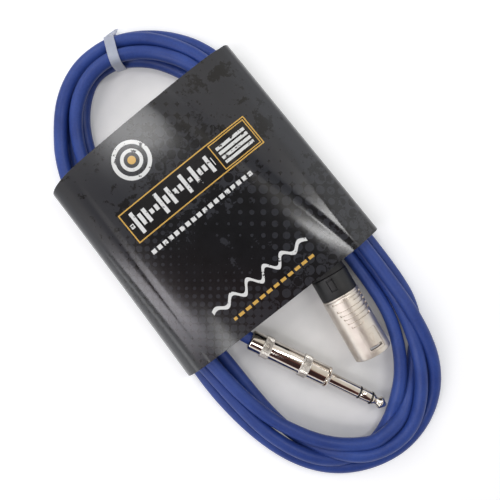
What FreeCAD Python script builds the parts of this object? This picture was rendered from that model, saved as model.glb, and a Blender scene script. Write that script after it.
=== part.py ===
import FreeCAD, Part
import Sketcher
import math
import os

# A packed balanced audio cable, lying on its back: a blue cable wound into a long coil, a card
# sleeve round its waist, one tie, a three-pin plug on one end and a three-contact jack plug on
# the other, both lying inside the coil.
# Millimetres. +Z points up out of the card's front, +Y towards the end with the tie, +X across
# the card. The origin is the middle of the underside.

doc = FreeCAD.newDocument("packed_audio_cable")
V = FreeCAD.Vector

# Driving dimensions

sizeRows = [
    ("cable_diameter", 6.5, "outside of the cable's jacket"),
    ("turn_gap", 0.5, "least air between two turns of the coil"),
    ("rest_gap", 0.3, "air between the cable and what carries it"),
    ("coil_low_left_x", -52.3, "outermost turn's centre line, foot of the left side"),
    ("coil_low_left_y", -66.0, "foot of the left side"),
    ("coil_low_left_lean", -1.5, "lean of the cable there, degrees right of straight up"),
    ("coil_low_left_pitch", 8.5, "step from turn to turn there"),
    ("coil_high_left_x", -46.4, "outermost turn's centre line, head of the left side"),
    ("coil_high_left_y", 76.0, "head of the left side"),
    ("coil_high_left_lean", 6.0, "lean of the cable there, degrees"),
    ("coil_high_left_pitch", 7.4, "step from turn to turn there"),
    ("coil_top_x", 3.4, "outermost turn's centre line, top"),
    ("coil_top_y", 122.6, "top"),
    ("coil_top_pitch", 7.0, "step from turn to turn there"),
    ("coil_high_right_x", 49.6, "outermost turn's centre line, head of the right side"),
    ("coil_high_right_y", 80.0, "head of the right side"),
    ("coil_high_right_lean", -3.0, "lean of the cable there, degrees"),
    ("coil_high_right_pitch", 7.4, "step from turn to turn there"),
    ("coil_low_right_x", 51.6, "outermost turn's centre line, foot of the right side"),
    ("coil_low_right_y", -48.0, "foot of the right side"),
    ("coil_low_right_lean", 0.0, "lean of the cable there, degrees"),
    ("coil_low_right_pitch", 8.0, "step from turn to turn there"),
    ("coil_bottom_x", -1.8, "outermost turn's centre line, bottom"),
    ("coil_bottom_y", -122.4, "bottom"),
    ("coil_bottom_pitch", 9.0, "step from turn to turn there"),
    ("coil_start_x", -35.0, "where the jack plug's lead joins the coil"),
    ("coil_start_y", 30.0, "where the jack plug's lead joins the coil"),
    ("coil_start_lean", 3.3, "lean of the cable there, degrees"),
    ("coil_end_x", 35.9, "where the other plug's lead leaves the coil"),
    ("coil_end_y", 46.0, "where the other plug's lead leaves the coil"),
    ("coil_end_lean", -1.4, "lean of the cable there, degrees"),
    ("jack_lead_join", 16.0, "last run of the jack plug's lead, in line with the coil"),
    ("jack_lead_corner", 60.2, "jack plug's shoulder back to the first corner of its lead"),
    ("plug_lead_join", 20.0, "first run of the other plug's lead, in line with the coil"),
    ("plug_lead_corner", 76.5, "three-pin plug's nose back to the last corner of its lead"),
    ("climb_slope", 0.095, "rise of the climbing turn under the tie"),
    ("card_left_slack", 0.95, "air between the sleeve's left side and the coil's foot"),
    ("card_right_slack", 1.65, "air between the sleeve's right side and the coil's foot"),
    ("card_top_slack", 1.7, "air between the three-pin plug's thickest part and the sleeve's front"),
    ("card_length", 114.3, "sleeve's length along the coil"),
    ("card_low_y", -30.4, "sleeve's lower edge"),
    ("card_thickness", 0.5, "card"),
    ("card_fold_x", 43.0, "fold at the right edge of the front"),
    ("card_crease_in", 2.0, "fold in to the lower end of the crease that runs up the front"),
    ("card_crease_x", 14.0, "upper end of the crease"),
    ("card_crease_fall", 5.6, "fall of the front to the right of its crease, degrees"),
    ("card_side_height", 12.5, "height of the upright right side"),
    ("card_left_bend", 15.0, "bend radius at the left edge of the front"),
    ("card_side_bend", 6.0, "bend radius where the right side begins to lean"),
    ("card_back_bend", 4.4, "bend radius at both edges of the back"),
    ("tie_angle", 12.5, "place of the tie on the top bend, degrees right of the top"),
    ("tie_width", 5.0, "strap width"),
    ("tie_thickness", 0.5, "strap thickness"),
    ("tie_slack", 0.5, "air between the strap and the sides of the bundle"),
    ("tie_bend", 3.0, "bend radius of the strap's corners"),
    ("jack_x", -7.65, "jack plug's shoulder"),
    ("jack_y", -73.8, "jack plug's shoulder"),
    ("jack_angle", -65.2, "jack plug's direction, degrees"),
    ("jack_shaft_radius", 3.175, "quarter inch shaft"),
    ("jack_sleeve_end", 16.5, "shoulder to the end of the sleeve contact"),
    ("jack_collar_width", 0.95, "insulating rings on the shaft"),
    ("jack_collar_radius", 3.25, "insulating rings stand a little proud"),
    ("jack_ring_width", 5.5, "ring contact"),
    ("jack_tip_end", 31.75, "shoulder to the end of the tip"),
    ("jack_head_front", 2.9, "end of the tip back to the widest part of its head"),
    ("jack_head_width", 0.5, "widest part of the tip's head"),
    ("jack_neck_front", 5.0, "end of the tip back to its waist"),
    ("jack_neck_width", 0.9, "waist of the tip"),
    ("jack_cone_length", 1.3, "slope from the waist out to the tip's rear part"),
    ("jack_neck_radius", 1.95, "waist of the tip"),
    ("jack_head_radius", 3.05, "widest part of the tip's head"),
    ("jack_nose_radius", 0.6, "flat at the very tip"),
    ("jack_contact_setback", 0.15, "tip and ring contacts stand back from the shaft's radius"),
    ("jack_collar_crown", 0.15, "rounding of the insulating rings"),
    ("jack_shoulder_bevel", 0.6, "bevel where the shaft meets the flange"),
    ("jack_rod_radius", 0.9, "rod that carries the tip"),
    ("jack_inner_tube_radius", 1.25, "inner insulating tube"),
    ("jack_ring_tube_radius", 1.7, "tube that carries the ring contact"),
    ("jack_outer_tube_radius", 2.2, "outer insulating tube"),
    ("jack_flange_width", 1.6, "milled flange in front of the barrel"),
    ("jack_flange_radius", 5.4, "milled flange"),
    ("jack_thread_radius", 4.7, "thread that holds the barrel"),
    ("jack_hub_end", 7.0, "flange face to the rear of the threaded hub"),
    ("jack_plate", 0.5, "thickness of lugs, washers and clamp plate"),
    ("jack_plate_radius", 3.75, "radius of the clamp plate"),
    ("jack_tab_length", 5.0, "solder tabs"),
    ("jack_tab_width", 2.4, "solder tabs"),
    ("jack_tab_thickness", 0.4, "solder tabs"),
    ("jack_tab_gap", 0.15, "air between the ring lug's tab and what it passes"),
    ("jack_arm_width", 3.0, "arm of the cable clamp"),
    ("jack_arm_gap", 0.25, "air between the arm and the washers and lugs"),
    ("jack_crimp_back", 1.0, "end of the jacket back to the crimp"),
    ("jack_crimp_length", 5.0, "crimp round the cable"),
    ("jack_crimp_wall", 0.45, "crimp round the cable"),
    ("jack_jacket_end", 31.0, "shoulder back to the end of the jacket"),
    ("barrel_radius", 5.2, "barrel between its bands"),
    ("barrel_band_radius", 5.7, "knurled bands"),
    ("barrel_band_width", 4.7, "knurled bands"),
    ("barrel_front_band", 13.2, "shoulder to the middle of the front band"),
    ("barrel_rear_band", 34.0, "shoulder to the middle of the rear band"),
    ("barrel_end", 43.2, "shoulder to the rear of the barrel"),
    ("barrel_end_wall", 1.5, "end wall of the barrel"),
    ("barrel_end_bevel", 1.8, "rounded rear edge of the barrel"),
    ("barrel_edge", 0.3, "small bevels on the barrel"),
    ("barrel_travel", 4.0, "thread length that the barrel unscrews over"),
    ("liner_wall", 0.45, "insulating liner in the barrel"),
    ("liner_front", 10.0, "shoulder to the front of the liner"),
    ("liner_end_gap", 0.2, "air between the liner and the barrel's end wall"),
    ("running_clearance", 0.05, "radial clearance of threads and liners"),
    ("cable_hole_gap", 0.35, "air round the cable in the rear holes"),
    ("wire_radius", 0.6, "insulated wires"),
    ("braid_radius", 0.5, "twisted shield"),
    ("wire_spread", 1.2, "wires leave the jack plug's lead this far to each side"),
    ("wire_rise", 0.9, "wires leave the jack plug's lead this far above its middle"),
    ("wire_run", 3.0, "straight runs of the wires in the jack plug"),
    ("wire_gather", 1.4, "wires leave the three-pin plug's lead this far from its middle"),
    ("wire_bend_room", 2.0, "a wire's last corner stays this far behind its solder joint"),
    ("braid_drop", 1.5, "the shield leaves the jack plug's lead this far below its middle"),
    ("plug_x", 17.25, "middle of the three-pin plug's nose"),
    ("plug_y", -77.2, "middle of the three-pin plug's nose"),
    ("plug_angle", -99.4, "three-pin plug's direction, degrees"),
    ("plug_roll", -18.0, "three-pin plug's turn about its own axis, degrees"),
    ("shell_radius", 9.5, "metal shell"),
    ("shell_length", 33.0, "metal shell"),
    ("shell_nose_bore", 7.95, "radius of the opening round the pins"),
    ("shell_rear_bore", 8.3, "radius of the rear bore"),
    ("shell_nose_depth", 16.0, "depth of the opening round the pins"),
    ("shell_bevel", 0.5, "outer edges of the shell"),
    ("latch_front", 1.1, "nose to the latch slot"),
    ("latch_length", 1.7, "latch slot along the plug"),
    ("latch_width", 6.0, "latch slot across the plug"),
    ("grip_first", 14.3, "nose to the first grip groove"),
    ("grip_step", 2.27, "step of the grip grooves"),
    ("grip_count", 5, "number of grip grooves"),
    ("grip_width", 0.7, "grip groove"),
    ("grip_depth", 0.3, "grip groove"),
    ("grip_sweep", 84.0, "degrees of the shell that a grip groove goes round"),
    ("insert_length", 10.0, "insulating insert"),
    ("pin_radius", 1.2, "contact pin"),
    ("pin_circle", 3.6, "radius of the circle that the pins stand on"),
    ("pin_spread", 15.0, "rise of the upper two pins above the middle, degrees"),
    ("pin_front", 2.5, "nose to the end of a pin"),
    ("pin_tail", 5.0, "insert to the solder end of a pin"),
    ("pin_tip", 0.7, "bevel at the end of a pin"),
    ("cup_radius", 0.85, "solder cup"),
    ("cup_depth", 3.0, "solder cup"),
    ("ground_thickness", 0.4, "ground strip behind the insert"),
    ("ground_width", 3.0, "ground strip"),
    ("ground_gap", 0.25, "air between the ground strip's end and the shell"),
    ("plug_jacket_end", 39.0, "nose back to the end of the jacket"),
    ("chuck_gap", 0.4, "air between the ground strip and the clamping chuck"),
    ("chuck_cone_front", 38.0, "nose to where the chuck begins to taper"),
    ("chuck_end", 47.0, "nose to the rear of the chuck"),
    ("chuck_radius", 7.0, "chuck's front"),
    ("chuck_end_radius", 5.0, "chuck's rear"),
    ("chuck_cavity", 6.0, "room for the wires in the chuck"),
    ("chuck_bore_gap", 0.25, "air round the cable in the chuck"),
    ("chuck_slot", 1.0, "slots between the chuck's fingers"),
    ("chuck_slot_front", 40.0, "nose to where the slots begin"),
    ("bushing_gap", 1.6, "ground strip to the front of the bushing's thread"),
    ("bushing_radius", 9.3, "black grip of the bushing"),
    ("bushing_edge", 0.3, "bevelled edges of the grip and the boot"),
    ("bushing_grip_end", 44.0, "nose to the rear of the black grip"),
    ("bushing_spigot_radius", 7.6, "spigot that carries the rubber boot"),
    ("bushing_end", 47.5, "nose to the rear of the bushing"),
    ("bushing_travel", 5.0, "thread length that the bushing unscrews over"),
    ("recess_front", 1.5, "shell to the moulded recess on the bushing"),
    ("recess_length", 7.0, "moulded recess on the bushing"),
    ("recess_width", 4.0, "moulded recess on the bushing"),
    ("recess_depth", 0.5, "moulded recess on the bushing"),
    ("boot_radius", 9.1, "front of the rubber boot"),
    ("boot_shoulder", 50.0, "nose to where the boot begins to taper"),
    ("boot_shoulder_radius", 8.4, "boot's shoulder"),
    ("boot_end", 63.0, "nose to the rear of the boot"),
    ("boot_end_radius", 4.8, "rear of the boot"),
    ("boot_groove_first", 53.0, "nose to the first ring groove of the boot"),
    ("boot_groove_step", 3.0, "step of the boot's ring grooves"),
    ("boot_groove_count", 3, "number of ring grooves"),
    ("boot_groove_width", 1.2, "ring groove"),
    ("boot_groove_depth", 0.8, "ring groove"),
]

sheet = doc.addObject("Spreadsheet::Sheet", "Sizes")
for row, (alias, number, note) in enumerate(sizeRows, start=1):
    sheet.set("A%d" % row, alias.replace("_", " "))
    sheet.set("B%d" % row, str(number))
    sheet.set("C%d" % row, note)
    sheet.setAlias("B%d" % row, alias)
doc.recompute()


class Size:
    # A length that knows its number and the expression that it comes from.

    def __init__(self, number, text):
        self.number = float(number)
        self.text = text

    def __add__(self, other):
        other = asSize(other)
        return Size(self.number + other.number, "(%s + %s)" % (self.text, other.text))

    def __sub__(self, other):
        other = asSize(other)
        return Size(self.number - other.number, "(%s - %s)" % (self.text, other.text))

    def __rsub__(self, other):
        return asSize(other) - self

    def __mul__(self, factor):
        factor = asSize(factor)
        return Size(self.number * factor.number, "(%s * %s)" % (self.text, factor.text))

    def __truediv__(self, factor):
        factor = asSize(factor)
        return Size(self.number / factor.number, "(%s / %s)" % (self.text, factor.text))

    def __neg__(self):
        return Size(-self.number, "(-%s)" % self.text)


def asSize(thing):
    return thing if isinstance(thing, Size) else Size(thing, repr(float(thing)))


class Sizes:
    def __getattr__(self, alias):
        return Size(sheet.get(alias), "Sizes.%s" % alias)


s = Sizes()


def num(alias):
    return float(sheet.get(alias))


def bind(item, name, size):
    number = asSize(size).number
    setattr(item, name, int(number) if isinstance(getattr(item, name), int) else number)
    item.setExpression(name, asSize(size).text)


# Sketches and features

def originPlane(body, role):
    return [f for f in body.Origin.OriginFeatures if f.Role == role][0]


def newBody(label, place):
    body = doc.addObject("PartDesign::Body", label)
    body.Label = label
    body.Placement = place
    return body


def newSketch(body, name, role, lift=None):
    sketch = body.newObject("Sketcher::SketchObject", name)
    sketch.AttachmentSupport = [(originPlane(body, role), "")]
    sketch.MapMode = "FlatFace"
    if lift is not None:
        sketch.AttachmentOffset = FreeCAD.Placement(V(0, 0, lift.number), FreeCAD.Rotation())
        sketch.setExpression("AttachmentOffset.Base.z", lift.text)
    return sketch


def fixPoint(sketch, geometry, end, across, up):
    # Holds a point of the sketch at its two distances from the sketch's origin.
    for kind, size in (("DistanceX", across), ("DistanceY", up)):
        size = asSize(size)
        index = sketch.addConstraint(Sketcher.Constraint(kind, -1, 1, geometry, end, size.number))
        sketch.setExpression("Constraints[%d]" % index, size.text)


def addOutline(sketch, corners):
    # A closed outline through the corners, each held by its own two sizes.
    places = [V(asSize(a).number, asSize(b).number, 0) for a, b in corners]
    first = sketch.GeometryCount
    for k, start in enumerate(places):
        sketch.addGeometry(Part.LineSegment(start, places[(k + 1) % len(places)]), False)
    for k in range(len(places)):
        following = first + (k + 1) % len(places)
        sketch.addConstraint(Sketcher.Constraint("Coincident", first + k, 2, following, 1))
    for k, (across, up) in enumerate(corners):
        fixPoint(sketch, first + k, 1, across, up)


def addCircle(sketch, across, up, radius):
    centre = V(asSize(across).number, asSize(up).number, 0)
    k = sketch.addGeometry(Part.Circle(centre, V(0, 0, 1), radius.number), False)
    fixPoint(sketch, k, 3, across, up)
    index = sketch.addConstraint(Sketcher.Constraint("Radius", k, radius.number))
    sketch.setExpression("Constraints[%d]" % index, radius.text)


def turned(body, name, corners, sweep=360, role="XY_Plane", kind="PartDesign::Revolution"):
    # Turns an outline of (along, radius) points about the body's own X axis.
    sketch = newSketch(body, name + "_outline", role)
    addOutline(sketch, corners)
    turn = body.newObject(kind, name)
    turn.Profile = sketch
    turn.ReferenceAxis = (sketch, ["H_Axis"])
    bind(turn, "Angle", sweep)
    turn.Midplane = asSize(sweep).number < 360
    return turn


def turnedPiece(label, place, corners):
    body = newBody(label, place)
    turned(body, label + "_turn", corners)
    doc.recompute()
    return body


def tubeCorners(rear, front, inner, outer):
    return [(rear, inner), (front, inner), (front, outer), (rear, outer)]


cutClear = 1.0  # cuts run this far past what they cut


def cut(body, name, sketch, towardsNormal=False, both=False):
    # Cuts through everything on one side of the sketch, or on both.
    pocket = body.newObject("PartDesign::Pocket", name)
    pocket.Profile = sketch
    pocket.Type = 1
    pocket.Reversed = towardsNormal
    pocket.Midplane = both
    return pocket


def alongPattern(body, name, feature, step, count):
    # Repeats a cut along the body's own -X direction.
    pattern = body.newObject("PartDesign::LinearPattern", name)
    pattern.Originals = [feature]
    pattern.Direction = (originPlane(body, "X_Axis"), [""])
    pattern.Reversed = True
    bind(pattern, "Length", step * (count - 1))
    bind(pattern, "Occurrences", count)
    body.Tip = pattern
    return pattern


def loopBlock(label, place, corners, bends, depth):
    # A block along Y over an outline in the body's XZ plane, with rounded corners.
    body = newBody(label, place)
    sketch = newSketch(body, label + "_outline", "XZ_Plane")
    addOutline(sketch, corners)
    block = body.newObject("PartDesign::Pad", label + "_block")
    block.Profile = sketch
    bind(block, "Length", depth)
    block.Reversed = True
    doc.recompute()
    last = block
    for k, ((across, up), bend) in enumerate(zip(corners, bends)):
        if bend is None:
            continue
        spot = V(asSize(across).number, asSize(depth).number / 2, asSize(up).number)
        edges = last.Shape.Edges
        near = min(range(len(edges)), key=lambda i: (edges[i].CenterOfMass - spot).Length)
        fillet = body.newObject("PartDesign::Fillet", "%s_bend_%d" % (label, k + 1))
        fillet.Base = (last, ["Edge%d" % (near + 1)])
        bind(fillet, "Radius", bend)
        doc.recompute()
        last = fillet
    return body


def hollowOut(body, label, wall):
    # Leaves a wall of even thickness, open at both ends of the block.
    last = body.Tip
    ends = ["Face%d" % (i + 1) for i, face in enumerate(last.Shape.Faces)
            if abs(face.normalAt(0, 0).y) > 0.999 and face.Surface.TypeId == "Part::GeomPlane"]
    shell = body.newObject("PartDesign::Thickness", label + "_wall")
    shell.Base = (last, ends)
    bind(shell, "Value", wall)
    shell.Reversed = True
    shell.Mode = 0
    shell.Join = 0
    doc.recompute()


# Cable and wire paths

def tangentPath(points):
    # Straight runs joined by the largest arcs that their lengths allow. Returns edges and radii.
    edges, radii, start = [], [], points[0]
    for before, corner, after in zip(points, points[1:], points[2:]):
        inward = (corner - before).normalize()
        outward = (after - corner).normalize()
        turn = inward.getAngle(outward)
        reach = 0.45 * min((corner - before).Length, (after - corner).Length)
        radii.append(reach / math.tan(turn / 2))
        first = corner - inward * reach
        last = corner + outward * reach
        towards = (outward - inward).normalize()
        middle = corner + towards * (radii[-1] / math.cos(turn / 2) - radii[-1])
        edges.append(Part.LineSegment(start, first).toShape())
        edges.append(Part.Arc(first, middle, last).toShape())
        start = last
    edges.append(Part.LineSegment(start, points[-1]).toShape())
    return edges, radii


def arcFrom(start, heading, end):
    # The arc that leaves start along heading and ends at end.
    chord = end - start
    side = chord - heading * chord.dot(heading)
    radius = chord.Length ** 2 / (2 * side.Length)
    centre = start + side.normalize() * radius
    middle = centre + ((start + end) * 0.5 - centre).normalize() * radius
    return Part.Arc(start, middle, end).toShape(), radius


def biarc(start, heading, end, finish):
    # Two arcs that leave start along heading, meet smoothly, and reach end along finish.
    chord = end - start
    both = heading + finish
    spare = 2 * (1 - heading.dot(finish))
    root = math.sqrt(chord.dot(both) ** 2 + spare * chord.dot(chord))
    reach = chord.dot(chord) / (chord.dot(both) + root)
    joint = (start + end + (heading - finish) * reach) * 0.5
    first, firstRadius = arcFrom(start, heading, joint)
    second, secondRadius = arcFrom(end, finish * -1, joint)
    second = Part.Arc(joint, second.valueAt(second.getParameterByLength(second.Length / 2)), end)
    return [first, second.toShape()], [firstRadius, secondRadius]


def sweepRound(edges, radius):
    wire = Part.Wire(edges)
    start = wire.Edges[0].valueAt(wire.Edges[0].FirstParameter)
    heading = wire.Edges[0].tangentAt(wire.Edges[0].FirstParameter)
    ring = Part.Wire([Part.Circle(start, heading, radius).toShape()])
    pipe = Part.BRepOffsetAPI.MakePipeShell(wire)
    pipe.add(ring)
    pipe.build()
    pipe.makeSolid()
    return pipe.shape(), wire


def addTube(label, edges, radius, place=None):
    shape, wire = sweepRound(edges, radius)
    tube = doc.addObject("Part::Feature", label)
    tube.Label = label
    tube.Shape = shape
    if place is not None:
        tube.Placement = place
    expected = math.pi * radius ** 2 * wire.Length
    print("%s: length %.1f mm, volume %.4f of section times length"
          % (label, wire.Length, shape.Volume / expected))
    return tube, wire


# Places of the two plugs: each has its own X axis pointing out of its mating end.

cableRadius = num("cable_diameter") / 2
floorGap = num("card_thickness") + num("rest_gap")
jackHeight = floorGap + num("barrel_band_radius")
plugHeight = floorGap + num("shell_radius")
jackPlace = FreeCAD.Placement(V(num("jack_x"), num("jack_y"), jackHeight),
                              FreeCAD.Rotation(num("jack_angle"), 0, 0))
plugPlace = FreeCAD.Placement(V(num("plug_x"), num("plug_y"), plugHeight),
                              FreeCAD.Rotation(num("plug_angle"), 0, num("plug_roll")))

# Coil: four and a half turns in two layers. The lower layer spirals outwards from the left side,
# the cable climbs a layer in the half turn under the tie, and the upper layer spirals back in.
# Turns are counted from the left side, clockwise as seen from the front.

turnCount = 4.5
reversal = 2.25
climbStart = 2.125
climbEnd = 2.375
layerRise = num("cable_diameter") + num("turn_gap")
lowHeight = floorGap + cableRadius
straightEnd = num("cable_diameter")


def leaning(degrees):
    return V(math.sin(math.radians(degrees)), math.cos(math.radians(degrees)), 0)


def station(name, heading, inward):
    # Outermost centre line there, heading, direction into the coil, step from turn to turn
    place = V(num("coil_%s_x" % name), num("coil_%s_y" % name), 0)
    return place, heading, inward, num("coil_%s_pitch" % name)


stations = {
    0.125: station("high_left", leaning(num("coil_high_left_lean")), V(1, 0, 0)),
    0.25: station("top", V(1, 0, 0), V(0, -1, 0)),
    0.375: station("high_right", leaning(num("coil_high_right_lean")) * -1, V(-1, 0, 0)),
    0.625: station("low_right", leaning(num("coil_low_right_lean")) * -1, V(-1, 0, 0)),
    0.75: station("bottom", V(-1, 0, 0), V(0, 1, 0)),
    0.875: station("low_left", leaning(num("coil_low_left_lean")), V(1, 0, 0)),
}


def coilPoint(turns):
    # The spiral moves inwards by one pitch a turn on either side of its reversal.
    outermost, heading, inward, pitch = stations[turns % 1.0]
    passes = [turns % 1.0 + k for k in range(5) if turns % 1.0 + k <= turnCount]
    steps = abs(reversal - turns) - min(abs(reversal - other) for other in passes)
    climb = min(max((turns - climbStart) / (climbEnd - climbStart), 0.0), 1.0)
    slope = num("climb_slope") if 0.0 < climb < 1.0 else 0.0
    height = V(0, 0, lowHeight + climb * layerRise)
    return outermost + inward * (steps * pitch) + height, (heading + V(0, 0, slope)).normalize()


startPoint = V(num("coil_start_x"), num("coil_start_y"), lowHeight)
startHeading = leaning(num("coil_start_lean"))
endPoint = V(num("coil_end_x"), num("coil_end_y"), lowHeight + layerRise)
endHeading = leaning(num("coil_end_lean")) * -1
passing = sorted(place + k for k in range(5) for place in stations if place + k < turnCount)
coilPoints = [(startPoint + startHeading * straightEnd, startHeading)]
coilPoints += [coilPoint(turns) for turns in passing]
coilPoints += [(endPoint - endHeading * straightEnd, endHeading)]

coilEdges = [Part.LineSegment(startPoint, coilPoints[0][0]).toShape()]
coilRadii = []
for (here, heading), (there, finish) in zip(coilPoints, coilPoints[1:]):
    arcs, radii = biarc(here, heading, there, finish)
    coilEdges += arcs
    coilRadii += radii
coilEdges.append(Part.LineSegment(coilPoints[-1][0], endPoint).toShape())
coil, coilWire = addTube("cable_coil", coilEdges, cableRadius)
print("coil radii from %.1f to %.1f mm" % (min(coilRadii), max(coilRadii)))


def leastGap(wires, diameter, step=3.0):
    # Least air between two passes of the same cable, measured on points along it.
    points = []
    for edge in [e for wire in wires for e in wire.Edges]:
        points += edge.discretize(max(2, int(edge.Length / step)))[:-1]
    apart = int(4 * diameter / step) + 2
    least = 1e9
    for i, here in enumerate(points):
        for there in points[i + apart:]:
            if abs(here.x - there.x) < 3 * diameter and abs(here.y - there.y) < 3 * diameter:
                least = min(least, here.distanceToPoint(there))
    return least - diameter


print("coil's least gap to itself: %.2f mm" % leastGap([coilWire], 2 * cableRadius))


# Leads: from inside each plug, straight out of its rear, and round to the coil.

def onAxis(place, along, across=0.0, up=0.0):
    return place.multVec(V(along, across, up))


jackRoute = [
    onAxis(jackPlace, -num("jack_jacket_end")),
    onAxis(jackPlace, -num("jack_lead_corner")),
    startPoint - startHeading * num("jack_lead_join"),
    startPoint,
]
plugRoute = [
    endPoint,
    endPoint + endHeading * num("plug_lead_join"),
    onAxis(plugPlace, -num("plug_lead_corner")),
    onAxis(plugPlace, -num("plug_jacket_end")),
]
jackEdges, jackRadii = tangentPath(jackRoute)
plugEdges, plugRadii = tangentPath(plugRoute)
jackLead, jackWire = addTube("jack_lead", jackEdges, cableRadius)
plugLead, plugWire = addTube("xlr_lead", plugEdges, cableRadius)
print("lead radii:", ", ".join("%.1f" % r for r in jackRadii + plugRadii))
print("cable length: %.0f mm" % (jackWire.Length + coilWire.Length + plugWire.Length))

# Jack plug, from its shoulder: contacts and insulators slide over one another on one rod.

collarEnd = s.jack_sleeve_end + s.jack_collar_width
ringEnd = collarEnd + s.jack_ring_width
tipStart = ringEnd + s.jack_collar_width
hubRear = -s.jack_hub_end
clampRear = hubRear - s.jack_plate
washerRear = clampRear - s.jack_plate
ringLugRear = washerRear - s.jack_plate
spacerRear = ringLugRear - s.jack_plate
tipLugRear = spacerRear - s.jack_plate
headFront = s.jack_tip_end - s.jack_head_front
neckFront = s.jack_tip_end - s.jack_neck_front
neckRear = neckFront - s.jack_neck_width
contactRadius = s.jack_shaft_radius - s.jack_contact_setback
collarEdge = s.jack_collar_radius - s.jack_collar_crown
crimpInner = s.cable_diameter / 2
crimpOuter = crimpInner + s.jack_crimp_wall
washerRadius = crimpInner - s.jack_arm_gap
tipLugRadius = washerRadius - s.jack_tab_thickness - s.jack_tab_gap

turnedPiece("jack_tip", jackPlace, [
    (tipLugRear - s.jack_plate, 0),
    (s.jack_tip_end, 0),
    (s.jack_tip_end, s.jack_nose_radius),
    (headFront, s.jack_head_radius),
    (headFront - s.jack_head_width, s.jack_head_radius),
    (neckFront, s.jack_neck_radius),
    (neckRear, s.jack_neck_radius),
    (neckRear - s.jack_cone_length, contactRadius - s.jack_contact_setback),
    (tipStart, contactRadius),
    (tipStart, s.jack_rod_radius),
    (tipLugRear - s.jack_plate, s.jack_rod_radius),
])
turnedPiece("jack_tip_insulator", jackPlace, [
    (spacerRear, s.jack_rod_radius),
    (tipStart, s.jack_rod_radius),
    (tipStart, collarEdge),
    (tipStart - s.jack_collar_width / 2, s.jack_collar_radius),
    (ringEnd, collarEdge),
    (ringEnd, s.jack_inner_tube_radius),
    (spacerRear, s.jack_inner_tube_radius),
])
turnedPiece("jack_ring", jackPlace, [
    (ringLugRear, s.jack_inner_tube_radius),
    (ringEnd, s.jack_inner_tube_radius),
    (ringEnd, contactRadius),
    (collarEnd, contactRadius),
    (collarEnd, s.jack_ring_tube_radius),
    (ringLugRear, s.jack_ring_tube_radius),
])
turnedPiece("jack_ring_insulator", jackPlace, [
    (clampRear, s.jack_ring_tube_radius),
    (collarEnd, s.jack_ring_tube_radius),
    (collarEnd, collarEdge),
    (collarEnd - s.jack_collar_width / 2, s.jack_collar_radius),
    (s.jack_sleeve_end, collarEdge),
    (s.jack_sleeve_end, s.jack_outer_tube_radius),
    (clampRear, s.jack_outer_tube_radius),
])
turnedPiece("jack_sleeve", jackPlace, [
    (hubRear, s.jack_outer_tube_radius),
    (s.jack_sleeve_end, s.jack_outer_tube_radius),
    (s.jack_sleeve_end, s.jack_shaft_radius),
    (s.jack_shoulder_bevel, s.jack_shaft_radius),
    (0, s.jack_shaft_radius + s.jack_shoulder_bevel),
    (0, s.jack_flange_radius - s.barrel_edge),
    (-s.barrel_edge, s.jack_flange_radius),
    (-s.jack_flange_width, s.jack_flange_radius),
    (-s.jack_flange_width, s.jack_thread_radius),
    (hubRear, s.jack_thread_radius),
])
turnedPiece("jack_rear_washer", jackPlace, tubeCorners(
    washerRear, clampRear, s.jack_ring_tube_radius, washerRadius))
turnedPiece("jack_lug_spacer", jackPlace, tubeCorners(
    spacerRear, ringLugRear, s.jack_inner_tube_radius, tipLugRadius))


def solderLug(label, rear, bore, radius, side):
    # A round plate on the rod with a tab that runs back at one side.
    body = turnedPiece(label, jackPlace, tubeCorners(rear, rear + s.jack_plate, bore, radius))
    sketch = newSketch(body, label + "_tab_outline", "XY_Plane", lift=-s.jack_tab_width / 2)
    near = (radius - s.jack_tab_thickness) * side
    far = radius * side
    front = rear + s.jack_plate
    back = rear - s.jack_tab_length
    addOutline(sketch, [(back, near), (front, near), (front, far), (back, far)])
    tab = body.newObject("PartDesign::Pad", label + "_tab")
    tab.Profile = sketch
    bind(tab, "Length", s.jack_tab_width)
    doc.recompute()


solderLug("jack_ring_lug", ringLugRear, s.jack_ring_tube_radius, washerRadius, 1)
solderLug("jack_tip_lug", tipLugRear, s.jack_rod_radius, tipLugRadius, -1)

# Cable clamp: plate behind the hub, arm under the wires, crimp round the jacket
clamp = turnedPiece("jack_cable_clamp", jackPlace, tubeCorners(
    clampRear, hubRear, s.jack_outer_tube_radius, s.jack_plate_radius))
crimpFront = -s.jack_jacket_end - s.jack_crimp_back
crimpRear = crimpFront - s.jack_crimp_length
armRear = crimpFront - s.jack_crimp_length / 2
armSketch = newSketch(clamp, "jack_clamp_arm_outline", "XZ_Plane")
addOutline(armSketch, [(armRear, -crimpOuter), (hubRear, -crimpOuter),
                       (hubRear, -crimpInner), (armRear, -crimpInner)])
arm = clamp.newObject("PartDesign::Pad", "jack_clamp_arm")
arm.Profile = armSketch
bind(arm, "Length", s.jack_arm_width)
arm.Midplane = True
doc.recompute()
turned(clamp, "jack_clamp_crimp", [(crimpRear, -crimpOuter), (crimpFront, -crimpOuter),
                                   (crimpFront, -crimpInner), (crimpRear, -crimpInner)],
       sweep=300, role="XZ_Plane")
doc.recompute()

# Barrel and its liner
barrelBore = s.jack_thread_radius + s.running_clearance
barrelFront = -s.jack_flange_width
barrelRear = -s.barrel_end
holeRadius = s.cable_diameter / 2 + s.cable_hole_gap


def bandCorners(middle):
    front = -middle + s.barrel_band_width / 2
    rear = -middle - s.barrel_band_width / 2
    return [(front, s.barrel_radius),
            (front, s.barrel_band_radius - s.barrel_edge),
            (front - s.barrel_edge, s.barrel_band_radius),
            (rear + s.barrel_edge, s.barrel_band_radius),
            (rear, s.barrel_band_radius - s.barrel_edge),
            (rear, s.barrel_radius)]


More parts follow.
